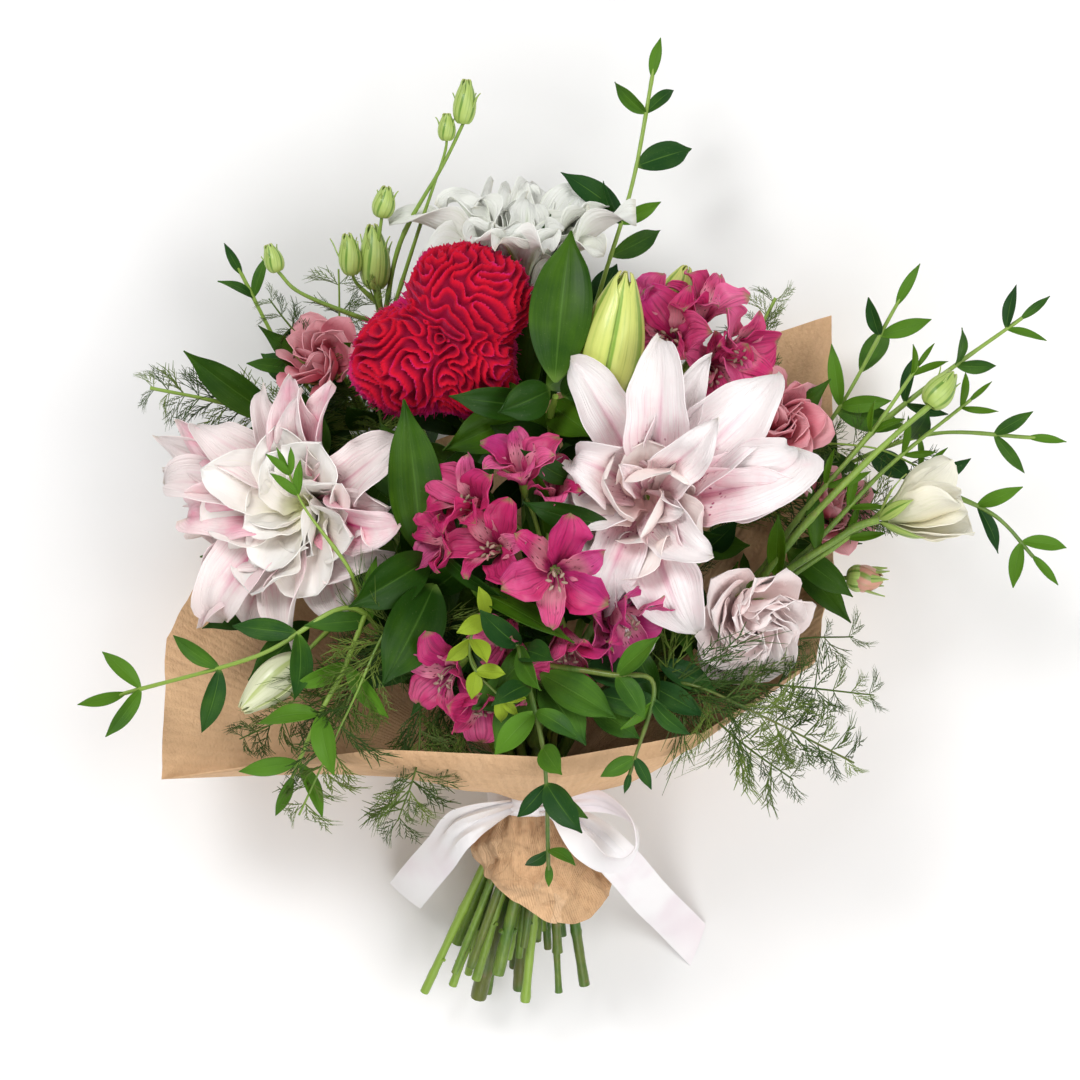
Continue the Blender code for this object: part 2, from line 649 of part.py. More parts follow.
def bud(b, name, stalk, tip, width, lobes=2):
    """A closed bud: a few lobes that lie along its length and part a little at the tip."""
    end = unit(stalk[-1] - stalk[-2])
    base = stalk[-1] + end * GAP
    tip = np.asarray(tip, float)
    axis, long = unit(tip - base), np.linalg.norm(tip - base)
    for k in range(lobes):
        out = outward(axis, 90 + 360 * k / lobes)
        line, radii = [base, base + end * 2.5], [1.6, 1.0 + width * 0.1]
        for t, r, off in ((0.34, 0.66, 0.28), (0.7, 0.64, 0.32), (1, 0.08, 0.26)):
            line.append(base + axis * long * t + out * off * width / 2)
            radii.append(r * width / 2)
        b.add(name, tube(line, radii, 6))


def cup_bloom(b, name, line, axis, colour, radius, layers, heart, ruffle):
    """A rose or a lisianthus: layers of cupped petals round a heart, in a calyx at the stem."""
    b.node(name, colour)
    axis = unit(axis)
    start = seat(line, axis, 3.4)
    calyx = tube([start, start + axis * radius * 0.4], [3.0, radius * 0.3], 6)
    b.add(name, calyx)
    rise = [start + axis * radius * h for h in (0.2, 0.2 + 0.45 * heart, 0.2 + heart, 0.2 + 1.35 * heart)]
    centre = tube(rise, [radius * r for r in (0.1, 0.3, 0.33, 0.14)], 6)
    b.add(name, centre)
    for count, reach, wide, lift, curl, turn in layers:
        for k in range(count):
            azimuth = turn + 360 * k / count
            out = outward(axis, azimuth)
            versions = []
            for j in range(20):
                step = ((j + 1) // 2) * (1 if j % 2 else -1) * 3.0
                shape = blade(reach * radius, wide * radius, 3, 2, 1.3, 0.85, lift + step, curl, 0.24,
                              ruffle, 1.2, azimuth, narrow=0.1)
                face = turned_about(axis, out, math.radians(PINWHEEL))
                root = start + axis * radius * 0.16 + out * radius * 0.12
                versions.append(placed(shape, root, out, face))
            b.add_clear(name, versions, "petal %d" % azimuth)


ROSE_LAYERS = [(5, 1.35, 1.0, 30, 34, 0), (4, 1.2, 0.8, 56, 40, 36)]
LISIANTHUS_LAYERS = [(5, 1.45, 1.0, 38, 14, 10), (4, 1.25, 0.8, 60, 14, 46)]


CUP_BLOOMS = [
    ("rose_left", "bloom_pink", 26, ROSE_LAYERS, 0.9, 0.04),
    ("rose_right", "bloom_pink", 26, ROSE_LAYERS, 0.9, 0.04),
    ("rose_low", "bloom_pink", 23, ROSE_LAYERS, 0.9, 0.04),
    ("lisianthus_pale", "bloom_pale", 30, LISIANTHUS_LAYERS, 0.7, 0.06),
    ("lisianthus_cream", "bloom_cream", 28, LISIANTHUS_LAYERS, 0.7, 0.06),
]


# Width over length and slope at the root of a floret's inner and outer petals.
INNER_PETAL = (0.3, 66)
OUTER_PETAL = (0.46, 52)


def floret(b, name, root, axis, size, turn, petals=6):
    """An alstroemeria floret: a slim tube and a funnel of petals."""
    axis = unit(axis)
    b.add(name, tube([root, root + axis * size * 0.35], [1.6, 3.0], 5))
    for k in range(petals):
        azimuth = turn + 360 * k / petals
        out = outward(axis, azimuth)
        wide, lift = INNER_PETAL if k % 2 else OUTER_PETAL
        versions = []
        for j in range(20):
            step = ((j + 1) // 2) * (1 if j % 2 else -1) * 3.0
            shape = blade(size, wide * size, 2, 1, 1.1, 0.9, lift + step, -34, 0, 0, narrow=0.04)
            versions.append(placed(shape, root + axis * size * 0.26 + out * 1.6, out, axis))
        b.add_clear(name, versions, "petal %d" % azimuth)


ALSTROEMERIA = {
    "alstroemeria_centre": ("alstroemeria_centre_stem", [
        ((9, -18, 214), (0.05, -0.1, 1), 44, 90),
        ((-38, 22, 200), (-0.7, 0.35, 0.7), 38, 20),
        ((-10, 38, 204), (-0.1, 0.8, 0.7), 36, 50),
        ((46, -42, 196), (0.7, -0.6, 0.6), 38, 0),
        ((14, -58, 192), (0.2, -1, 0.5), 38, 30),
    ]),
    "alstroemeria_upper": ("alstroemeria_upper_stem", [
        ((80, 120, 152), (-0.4, 0.5, 1), 40, 0),
        ((112, 112, 148), (0.7, 0.2, 0.9), 38, 30),
        ((96, 134, 142), (0.1, 1, 0.6), 36, 10),
    ]),
    "alstroemeria_low": ("alstroemeria_low_stem", [
        ((-52, -76, 186), (-0.6, -0.4, 0.9), 34, 0),
        ((-34, -92, 182), (0.1, -0.9, 0.7), 34, 30),
    ]),
}


HUB_LONG = 3.0
HUB_WIDE = 4.5
STALK = 1.4


def add_alstroemeria(b, lines):
    for name, (stem, florets) in ALSTROEMERIA.items():
        b.node(name, "alstroemeria_pink")
        line = lines[stem]
        along = unit(line[-1] - line[-2])
        hub = line[-1] + along * (GAP + HUB_LONG)
        core = ball(hub, along, (HUB_LONG, HUB_WIDE), 3, 6)
        b.add(name, core)
        for centre, axis, size, turn in florets:
            axis = unit(axis)
            root = np.array(centre, float) - axis * size * 0.5
            middle = (hub + root) / 2 + along * 6
            stalk_line = smooth_line([hub, middle, root + axis * 2], 3)
            stalk = tube(stalk_line, np.full(4, STALK), 4)
            b.add(name, stalk)
            floret(b, name, root, axis, size, turn)


# The celosia head: three merged lobes, each a centre and a size along X, Y and Z.
CELOSIA_LOBES = [
    ((-42, 142, 166), (38, 34, 34)), ((-78, 108, 160), (34, 34, 32)), ((-44, 106, 158), (34, 34, 32)),
]
CELOSIA_FOLD = 5.0


def celosia_radius(centre, way, fold=CELOSIA_FOLD):
    """How far the head reaches from its centre in a direction, with its folds."""
    far = 6.0
    for place, size in CELOSIA_LOBES:
        size = np.array(size, float)
        o, d = (centre - np.array(place, float)) / size, way / size
        a, half_b, c = d @ d, o @ d, o @ o - 1
        root = half_b**2 - a * c
        if root > 0:
            far = max(far, (-half_b + math.sqrt(root)) / a)
    x, y, z = way
    swirl = math.sin(9 * x + 3 * math.sin(5 * y + 2 * z)) + math.sin(8 * y + 3 * math.sin(6 * x - 3 * z))
    return far - fold * (0.5 + 0.5 * math.cos(1.6 * swirl + 5 * z))


def add_celosia(b, lines):
    b.node("celosia_head", "celosia_red")
    line = lines["celosia_stem"]
    along = unit(line[-1] - line[-2])
    centre = np.mean([p for p, _ in CELOSIA_LOBES], axis=0)
    rings, sides = 13, 22
    points, faces = [], []
    top = unit((0.0, 0.3, 1.0))
    right = unit(np.cross(np.array((0.0, 1.0, 0.0)), top))
    other = np.cross(top, right)
    for i in range(1, rings):
        polar = math.pi * i / rings
        for k in range(sides):
            a = 2 * math.pi * (k + 0.5 * (i % 2)) / sides
            way = top * math.cos(polar) + (right * math.cos(a) + other * math.sin(a)) * math.sin(polar)
            points.append(centre + way * celosia_radius(centre, way))
    points += [centre + top * celosia_radius(centre, top), centre - top * celosia_radius(centre, -top)]
    ring_count = rings - 1
    for i in range(ring_count - 1):
        for k in range(sides):
            a, c = i * sides + k, i * sides + (k + 1) % sides
            lean = (i + 1) % 2
            if lean:
                faces += [(a, a + sides, c), (c, a + sides, c + sides)]
            else:
                faces += [(a, a + sides, c + sides), (a, c + sides, c)]
    first, last = len(points) - 2, len(points) - 1
    for k in range(sides):
        a, c = k, (k + 1) % sides
        faces.append((first, a, c))
        base = (ring_count - 1) * sides
        faces.append((last, base + c, base + a))
    head = (np.array(points), faces)
    start = line[-1] + along * GAP
    foot = tube([start, start + along * 18], [5.2, 12], 7)
    b.add("celosia_head", foot)
    b.add("celosia_head", head)


# Single large leaves: the stem, the leaf's base and tip, its width, its arch in degrees and its lean.
LEAVES = [
    ("ruscus_middle_stem", (9, 92, 192), (17, 181, 186), 38, 34, 0.1),
    ("ruscus_middle_stem", (6, 88, 188), (-24, 73, 204), 24, 30, 0.2),
    ("ruscus_middle_stem", (14, 84, 180), (32, 98, 196), 20, 20, -0.2),
    ("ruscus_middle_stem", (2, 78, 176), (-53, 84, 200), 20, 26, 0.2),
    ("ruscus_left_stem", (-70, -8, 168), (-77, 82, 202), 33, 36, -0.1),
    ("ruscus_left_stem", (-74, -14, 164), (-111, -38, 190), 30, 30, 0.3),
    ("ruscus_left_stem", (-66, -26, 160), (-93, -83, 186), 36, 34, 0.2),
    ("ruscus_left_stem", (-66, -30, 150), (-40, -10, 192), 22, 24, -0.3),
    ("ruscus_outer_stem", (-157, 72, 90), (-216, 113, 104), 22, 30, 0.2),
    ("ruscus_outer_stem", (-148, 64, 84), (-190, 56, 92), 22, 26, 0.1),
    ("ruscus_outer_stem", (-130, 52, 76), (-150, 96, 104), 20, 24, 0.1),
    ("alstroemeria_centre_stem", (6, -8, 168), (-2, 48, 206), 18, 30, 0.3),
    ("alstroemeria_centre_stem", (-6, -26, 160), (-58, -8, 190), 18, 40, -0.3),
    ("alstroemeria_low_stem", (-36, -70, 152), (-8, -104, 188), 22, 36, 0.2),
    ("alstroemeria_low_stem", (-44, -64, 150), (-74, -104, 182), 22, 36, -0.2),
    ("lily_top_stem", (-16, 110, 96), (-58, 182, 104), 18, 30, 0.1),
    ("lily_right_stem", (58, 4, 136), (92, -72, 176), 20, 40, 0.1),
    ("lily_left_stem", (-116, 8, 98), (-176, -36, 124), 22, 36, 0.1),
    ("lisianthus_cream_stem", (150, -6, 112), (188, -34, 118), 18, 30, 0.1),
    ("rose_right_stem", (130, 52, 88), (176, 96, 112), 18, 24, 0.1),
    ("rose_left_stem", (-116, 88, 78), (-172, 128, 96), 18, 24, 0.1),
    ("rose_low_stem", (150, -4, 86), (186, -52, 96), 18, 24, 0.1),
    ("eucalyptus_right_stem", (150, 50, 70), (196, 44, 84), 18, 24, 0.1),
]

# Side branches: the stem they grow from, how far along it, the points they pass and their radius.
BRANCHES = {
    "tall_bud": ("lisianthus_bud_stem", (-92, 130, 96), [(-84, 180, 108), (-58, 226, 116), (-46, 250, 120)], 1.4),
    "high_bud": ("lisianthus_bud_stem", (-95, 140, 99), [(-98, 170, 112), (-95, 194, 118)], 1.4),
    "left_bud": ("lisianthus_bud_stem", (-94, 132, 96), [(-118, 138, 100), (-146, 150, 104), (-158, 162, 108)], 1.4),
    "near_bud": ("lisianthus_bud_stem", (-96, 142, 100), [(-110, 154, 108), (-113, 160, 112)], 1.4),
    "right_bud": ("lisianthus_cream_stem", (120, -40, 124), [(158, 10, 148), (204, 56, 146), (232, 80, 140)], 2.2),
    "big_lily_bud": ("lily_right_stem", (52, -10, 124), [(44, 30, 146), (36, 66, 172), (34, 78, 180)], 2.0),
    "small_lily_bud": ("lily_top_stem", (-6, 90, 92), [(40, 112, 96), (78, 138, 112)], 1.8),
    "low_lily_bud": ("lily_left_stem", (-92, -18, 88), [(-112, -42, 124), (-128, -56, 146), (-142, -70, 155)], 1.8),
    "small_rose": ("rose_low_stem", (140, -14, 76), [(172, -22, 92), (186, -23, 98)], 1.8),
    "low_left_spray": ("eucalyptus_low_left_stem", (-104, -46, 162),
                       [(-116, -78, 178), (-130, -104, 184), (-146, -140, 166)], 1.5),
    "front_right_spray": ("eucalyptus_front_stem", (-6, -78, 196),
                          [(40, -78, 206), (66, -84, 212), (52, -136, 206)], 1.5),
    "far_right_high_spray": ("eucalyptus_far_right_stem", (186, 46, 80),
                             [(206, 70, 98), (246, 102, 108), (291, 134, 104)], 1.6),
    "far_right_low_spray": ("eucalyptus_far_right_stem", (204, 52, 88),
                            [(244, 30, 100), (276, 14, 100), (299, -10, 92)], 1.6),
    "left_low_fern": ("fern_left_stem", (-108, 62, 52), [(-150, 72, 74), (-196, 84, 92), (-236, 92, 98)], 1.5),
    "right_high_fern": ("fern_right_stem", (120, 20, 70), [(128, 76, 84), (130, 118, 104), (142, 146, 108)], 1.5),
}

GREEN_BUDS = [
    ("lisianthus_bud_stem", None, (-101, 190, 112), 18), ("lisianthus_bud_stem", "tall_bud", (-44, 276, 124), 13),
    ("lisianthus_bud_stem", "high_bud", (-92, 212, 122), 13), ("lisianthus_bud_stem", "left_bud", (-164, 178, 110), 11),
    ("lisianthus_bud_stem", "near_bud", (-116, 184, 118), 13), ("lisianthus_cream_stem", "right_bud", (246, 100, 138), 17),
]

COLOURED_BUDS = [
    ("lily_bud_big", "lily_bud", "big_lily_bud", (50, 156, 196), 38),
    ("lily_bud_small", "lily_bud", "small_lily_bud", (88, 164, 120), 19),
    ("lily_bud_low", "lily_bud", "low_lily_bud", (-176, -100, 164), 24),
    ("rose_bud", "bloom_pale", "small_rose", (210, -24, 102), 18),
]

# Leaf pairs of the eucalyptus: the line they stand on, where the first and last pair stand, how many
# pairs, and the leaf length and width.
LEAF_PAIRS = [
    ("eucalyptus_top_stem", None, 0.58, 0.95, 4, 30, 15),
    ("eucalyptus_left_stem", None, 0.66, 0.96, 4, 27, 13),
    ("eucalyptus_low_left_stem", None, 0.64, 0.97, 4, 40, 17),
    ("eucalyptus_low_left_stem", "low_left_spray", 0.3, 0.9, 3, 36, 17),
    ("eucalyptus_front_stem", None, 0.66, 0.97, 4, 38, 18),
    ("eucalyptus_front_stem", "front_right_spray", 0.4, 0.92, 3, 32, 15),
    ("eucalyptus_right_stem", None, 0.66, 0.95, 4, 34, 16),
    ("eucalyptus_far_right_stem", None, 0.74, 0.95, 2, 27, 13),
    ("eucalyptus_far_right_stem", "far_right_high_spray", 0.4, 0.92, 3, 25, 12),
    ("eucalyptus_far_right_stem", "far_right_low_spray", 0.3, 0.9, 3, 29, 13),
    ("lisianthus_bud_stem", "tall_bud", 0.3, 0.7, 1, 16, 5),
]

# Fern fronds: the line they stand on, where the first and last side twig stand, how many twigs, and
# their length.
FRONDS = [
    ("fern_left_stem", None, 0.62, 0.97, 7, 36), ("fern_left_stem", "left_low_fern", 0.3, 0.95, 5, 28),
    ("fern_low_left_stem", None, 0.56, 0.97, 10, 44), ("fern_low_right_stem", None, 0.56, 0.97, 11, 50),
    ("fern_right_stem", None, 0.6, 0.96, 6, 34), ("fern_right_stem", "right_high_fern", 0.35, 0.95, 5, 24),
]


def leaf_shape(base, tip, width, arch, lean, rows=3, cols=2, cup=0.12):
    """A leaf from its base to its tip, arched over its length and leaning to one side."""
    base, tip = np.asarray(base, float), np.asarray(tip, float)
    chord = tip - base
    half = math.radians(max(arch, 1)) / 2
    long = np.linalg.norm(chord) * half / math.sin(half)
    side = unit(np.cross(UP, chord)) if abs(unit(chord)[2]) < 0.98 else BUNDLE_SIDE
    face = unit(UP + side * lean)
    return placed(blade(long, width, rows, cols, 0.9, 0.8, arch / 2, -arch, cup, 0, narrow=0.08), base, chord, face)


def nudged(base, tip, width, arch, lean, count, **shape):
    """The leaf, and then the same leaf swung about its base a little further each time."""
    base, tip = np.asarray(base, float), np.asarray(tip, float)
    long = np.linalg.norm(tip - base)
    for k in range(count):
        swing = 0.04 * k ** 0.8
        shift = np.array([random.uniform(-1, 1) for _ in range(3)]) * swing * long
        moved = base + unit(tip + shift - base) * long
        yield leaf_shape(base, moved, width, arch + random.uniform(-8, 8) * min(1, k / 4),
                         lean + random.uniform(-0.5, 0.5) * min(1, k / 6), **shape)


def add_leaves(b, lines):
    for stem, base, tip, width, arch, lean in LEAVES:
        line = lines[stem]
        base = np.array(base, float)
        near = line[np.linalg.norm(line - base, axis=1).argmin()]
        for shape in nudged(base, tip, width, arch, lean, 40):
            stalk = tube([near, base + (np.array(tip, float) - base) * 0.06], [1.3, 1.0], 3)
            if not b.clearance.blocked_by(stem, stalk) and b.add_clear(stem, [shape]):
                b.add(stem, stalk)
                break
        else:
            b.dropped.append((stem, "leaf", "left out at", tuple(base)))


BRANCH_TRIES = 60


def add_branches(b, lines):
    """The side branches, each bent a little until it is clear of the rest."""
    for name, (stem, start, points, radius) in BRANCHES.items():
        line = lines[stem]
        near = line[np.linalg.norm(line - np.array(start, float), axis=1).argmin()]
        found = None
        for k in range(BRANCH_TRIES):
            bend = 0 if k == 0 else 2 + 0.4 * k
            moved = [np.array(p, float) + [random.uniform(-bend, bend) for _ in range(3)] for p in points[:-1]]
            last = np.array(points[-1], float) + [random.uniform(-bend, bend) * 0.1 for _ in range(3)]
            smooth = smooth_line([near] + moved + [last], len(points) + 2)
            shape = tube(smooth, np.full(len(smooth), radius), 4)
            found = b.clearance.blocked_by(stem, shape)
            if not found:
                break
        else:
            b.dropped.append((stem, name, "still crosses " + found))
        b.parts[stem].append(shape)
        b.clearance.stand(stem, shape)
        lines[name] = smooth


def line_at(line, share):
    """The point and direction at a share of a line's length."""
    steps = np.linalg.norm(np.diff(line, axis=0), axis=1)
    run = np.concatenate([[0], np.cumsum(steps)]) / steps.sum()
    point = np.array([np.interp(share, run, line[:, k]) for k in range(3)])
    ahead = np.array([np.interp(min(share + 0.03, 1), run, line[:, k]) for k in range(3)])
    behind = np.array([np.interp(share - 0.03, run, line[:, k]) for k in range(3)])
    return point, unit(ahead - behind)


def add_leaf_pairs(b, lines):
    for stem, branch, first, last, pairs, long, width in LEAF_PAIRS:
        line = lines[branch or stem]
        for k in range(pairs):
            share = first + (last - first) * k / max(pairs - 1, 1)
            point, along = line_at(line, share)
            across = unit(np.cross(UP, along))
            if k % 2:
                across = unit(across + UP * 0.5)
            for side in (-1, 1):
                size = long * random.uniform(0.85, 1.1)
                way = unit(along * 0.75 + across * side + UP * random.uniform(0.05, 0.3))
                base = point + way * 0.6
                shapes = nudged(base, base + way * size, width * size / long, 26, 0, 16, rows=2, cols=1, cup=0)
                b.add_clear(stem, shapes, "paired leaf")
        if branch != "tall_bud" and "eucalyptus" in stem:
            point, along = line_at(line, 0.99)
            shapes = nudged(point, point + along * long * 0.9, width * 0.8, 20, 0, 16, rows=2, cols=1, cup=0)
            b.add_clear(stem, shapes, "tip leaf")


def add_fronds(b, lines):
    for stem, branch, first, last, twigs, long in FRONDS:
        line = lines[branch or stem]
        for k in range(twigs):
            share = first + (last - first) * k / (twigs - 1)
            point, along = line_at(line, share)
            across = unit(np.cross(UP, along))
            size = long * (1.05 - 0.75 * k / (twigs - 1))
            for side in (-1, 1) if k % 2 == 0 else (1, -1):
                versions = []
                for j in range(14):
                    lift = random.uniform(-0.12, 0.25) * (1 + j / 4)
                    lean = random.uniform(0.5, 0.8) + random.uniform(-0.03, 0.03) * j
                    way = unit(along * lean + across * side + UP * lift)
                    versions.append(spike(point, point + way * size, 0.9))
                b.add_clear(stem, versions, "twig")


SEPAL_TURN = 20.0


def add_buds(b, lines):
    for stem, branch, tip, width in GREEN_BUDS:
        line = lines[branch or stem]
        base = line[-1] - unit(line[-1] - line[-2]) * 1.5
        axis = unit(np.array(tip, float) - base)
        long = np.linalg.norm(np.array(tip, float) - base)
        body = tube([base, base + axis * long * 0.3, base + axis * long * 0.6, base + axis * long],
                    [width * 0.2, width * 0.48, width * 0.4, width * 0.06], 6)
        b.add(stem, body)
        out = outward(axis, SEPAL_TURN)
        sepals = [
            placed(blade(long * 0.8, width * 0.3, 2, 1, 0.8, 0.8, 40 + j * 6, -30, 0, 0), base, out, axis)
            for j in range(5)
        ]
        b.add_clear(stem, sepals, "sepal")
    for name, colour, branch, tip, width in COLOURED_BUDS:
        b.node(name, colour)
        bud(b, name, lines[branch], tip, width)


def fused(name, shapes):
    """One closed body out of overlapping closed shapes."""
    group = bpy.data.collections.new("repeats")
    bpy.context.scene.collection.children.link(group)
    made = []
    for k, (points, faces) in enumerate(shapes):
        mesh = bpy.data.meshes.new("%s_%d" % (name, k))
        mesh.from_pydata((points * METRES).tolist(), [], [tuple(int(i) for i in f) for f in faces])
        work = bmesh.new()
        work.from_mesh(mesh)
        bmesh.ops.triangulate(work, faces=work.faces[:])
        bmesh.ops.recalc_face_normals(work, faces=work.faces[:])
        if work.calc_volume(signed=True) < 0:
            bmesh.ops.reverse_faces(work, faces=work.faces[:])
        work.to_mesh(mesh)
        work.free()
        made.append(bpy.data.objects.new(mesh.name, mesh))
    body = made[0]
    bpy.context.scene.collection.objects.link(body)
    body.name = name
    if len(made) > 1:
        for other in made[1:]:
            group.objects.link(other)
        union = body.modifiers.new("Join", "BOOLEAN")
        union.operation = "UNION"
        union.operand_type = "COLLECTION"
        union.collection = group
        union.solver = "MANIFOLD"
        bpy.context.view_layer.objects.active = body
        body.select_set(True)
        bpy.ops.object.modifier_apply(modifier=union.name)
        body.select_set(False)
        for other in made[1:]:
            bpy.data.objects.remove(other)
    bpy.data.collections.remove(group)
    keep_largest(body)
    return body


def keep_largest(body):
    """Drops loose scraps and fills sealed hollows: only the largest closed skin stays."""
    work = bmesh.new()
    work.from_mesh(body.data)
    bmesh.ops.remove_doubles(work, verts=work.verts[:], dist=2e-6)
    bmesh.ops.dissolve_degenerate(work, edges=work.edges[:], dist=2e-6)
    bmesh.ops.triangulate(work, faces=work.faces[:])
    for angle in FLAT_ANGLES:
        lighter = work.copy()
        limit = math.radians(angle)
        bmesh.ops.dissolve_limit(lighter, angle_limit=limit, verts=lighter.verts[:], edges=lighter.edges[:])
        bmesh.ops.triangulate(lighter, faces=lighter.faces[:])
        if all(len(edge.link_faces) == 2 for edge in lighter.edges):
            work.free()
            work = lighter
            break
        lighter.free()
    seen, skins = set(), []
    for start in work.faces:
        if start in seen:
            continue
        skin, stack = [], [start]
        seen.add(start)
        while stack:
            face = stack.pop()
            skin.append(face)
            for edge in face.edges:
                for other in edge.link_faces:
                    if other not in seen:
                        seen.add(other)
                        stack.append(other)
        skins.append(skin)
    size = lambda skin: max(
        max(v.co[k] for f in skin for v in f.verts) - min(v.co[k] for f in skin for v in f.verts) for k in range(3)
    )
    skins.sort(key=size)
    for skin in skins[:-1]:
        bmesh.ops.delete(work, geom=skin, context="FACES")
    loose = [v for v in work.verts if not v.link_faces]
    bmesh.ops.delete(work, geom=loose, context="VERTS")
    bmesh.ops.recalc_face_normals(work, faces=work.faces[:])
    if work.calc_volume(signed=True) < 0:
        bmesh.ops.reverse_faces(work, faces=work.faces[:])
    work.to_mesh(body.data)
    work.free()


def coloured(body, slot_name):
    """Gives a body its own material and smooth faces between its sharp edges."""
    colour, rough = COLOURS[slot_name]
    finish = bpy.data.materials.new(body.name)
    finish.use_nodes = True
    shader = finish.node_tree.nodes["Principled BSDF"]
    shader.inputs["Base Color"].default_value = (*colour, 1.0)
    shader.inputs["Roughness"].default_value = rough
    body.data.materials.clear()
    body.data.materials.append(finish)
    body.data.shade_smooth()
    body.data.set_sharp_from_angle(angle=math.radians(SHARP_ANGLE))


def make_bouquet():
    """Builds every node, each clear of the ones before it."""
    for old in list(bpy.data.objects):
        bpy.data.objects.remove(old)
    b = Bouquet()
    names = sorted(STEMS, key=lambda n: -STEMS[n][0])
    slots = pack_bundle(names)
    bundle_radius = max(np.linalg.norm(slots[n]) + STEMS[n][0] for n in names)
    band_radius = add_wrap(b, bundle_radius)
    add_ribbon(b, band_radius)
    lines = add_stems(b, slots)
    for name, petals in (("lily_right", LILY_RIGHT), ("lily_left", LILY_LEFT)):
        lily(b, name, "lily_pink", lines[name + "_stem"], HEAD_AXES[name + "_stem"], petals)
    add_celosia(b, lines)
    add_branches(b, lines)
    add_buds(b, lines)
    lily(b, "lily_top", "lily_white", lines["lily_top_stem"], HEAD_AXES["lily_top_stem"], LILY_TOP)
    add_alstroemeria(b, lines)
    for name, *look in CUP_BLOOMS:
        cup_bloom(b, name, lines[name + "_stem"], HEAD_AXES[name + "_stem"], *look)
    add_leaves(b, lines)
    add_leaf_pairs(b, lines)
    add_fronds(b, lines)
    total = 0
    for name, shapes in b.parts.items():
        body = fused(name, shapes)
        coloured(body, b.colour[name])
        total += len(body.data.polygons)
    print("triangles", total, "nodes", len(b.parts))
    for row in b.dropped:
        print("left out:", *row)


make_bouquet()
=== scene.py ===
"""The look of a hand-tied flower bouquet in kraft paper and satin ribbon, lying on its back.

Sizes in the tables are in millimetres. +X is the bouquet's right, +Y runs from its cut stems to its flowers
and +Z is up, towards its front.
"""

import math
import random

import bpy
import numpy as np
from bpy.props import FloatProperty, FloatVectorProperty, IntProperty, PointerProperty
from mathutils import Matrix, Vector
from mathutils.bvhtree import BVHTree


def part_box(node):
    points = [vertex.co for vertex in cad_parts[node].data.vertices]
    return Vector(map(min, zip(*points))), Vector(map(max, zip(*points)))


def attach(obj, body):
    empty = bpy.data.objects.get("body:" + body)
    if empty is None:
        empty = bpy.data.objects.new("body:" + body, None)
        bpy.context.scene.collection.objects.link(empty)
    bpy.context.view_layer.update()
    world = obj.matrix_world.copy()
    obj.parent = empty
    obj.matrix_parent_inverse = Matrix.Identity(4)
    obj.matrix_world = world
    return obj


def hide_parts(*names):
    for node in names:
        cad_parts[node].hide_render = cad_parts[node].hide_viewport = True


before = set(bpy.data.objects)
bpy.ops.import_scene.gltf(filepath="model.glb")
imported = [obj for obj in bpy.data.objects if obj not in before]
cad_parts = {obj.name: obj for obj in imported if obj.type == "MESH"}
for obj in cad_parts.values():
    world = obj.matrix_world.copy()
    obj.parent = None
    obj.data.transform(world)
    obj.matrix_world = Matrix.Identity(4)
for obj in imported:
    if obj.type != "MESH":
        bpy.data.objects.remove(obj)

bl_info = {
    "name": "Flower bouquet",
    "version": (1, 0, 0),
    "blender": (4, 5, 0),
    "location": "3D View > Sidebar > Bouquet",
    "description": "Dresses the packed bouquet with petals, leaves, paper and ribbon",
    "category": "Object",
}

MM = 0.001
UP = np.array((0.0, 0.0, 1.0))
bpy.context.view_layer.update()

# A whole turn in radians, near enough for what only has to vary.
TURN = 6.28

# The tie, the slope of the bundle there and its cut end.
TIE = np.array((-6.0, -151.0, 86.0))
TIE_TILT = math.radians(16)
KNEE = 52.0
CLAMP = 14.0
KNEE_SPREAD = 2.3
FOOT = np.array((-20.0, -262.0, 42.0))
FOOT_SPREAD = np.array((2.7, 1.7))
FOOT_TURN = math.radians(22)
FOOT_STEP = 4.4
BUNDLE_STEP = 0.4
NECK_WIDTH = 22.0
APPROACH = 14.0

# How the stems are packed at the tie: rounds in all, rounds that pull them in, and how far apart they start.
PACK_ROUNDS = 3000
PULL_ROUNDS = 2400
PULL = 0.9965
START_SPREAD = 22
START_REACH = 60

BUNDLE_SIDE = np.array((1.0, 0.0, 0.0))
BUNDLE_ALONG = np.array((0.0, math.cos(TIE_TILT), math.sin(TIE_TILT)))
BUNDLE_FRONT = np.cross(BUNDLE_SIDE, BUNDLE_ALONG)

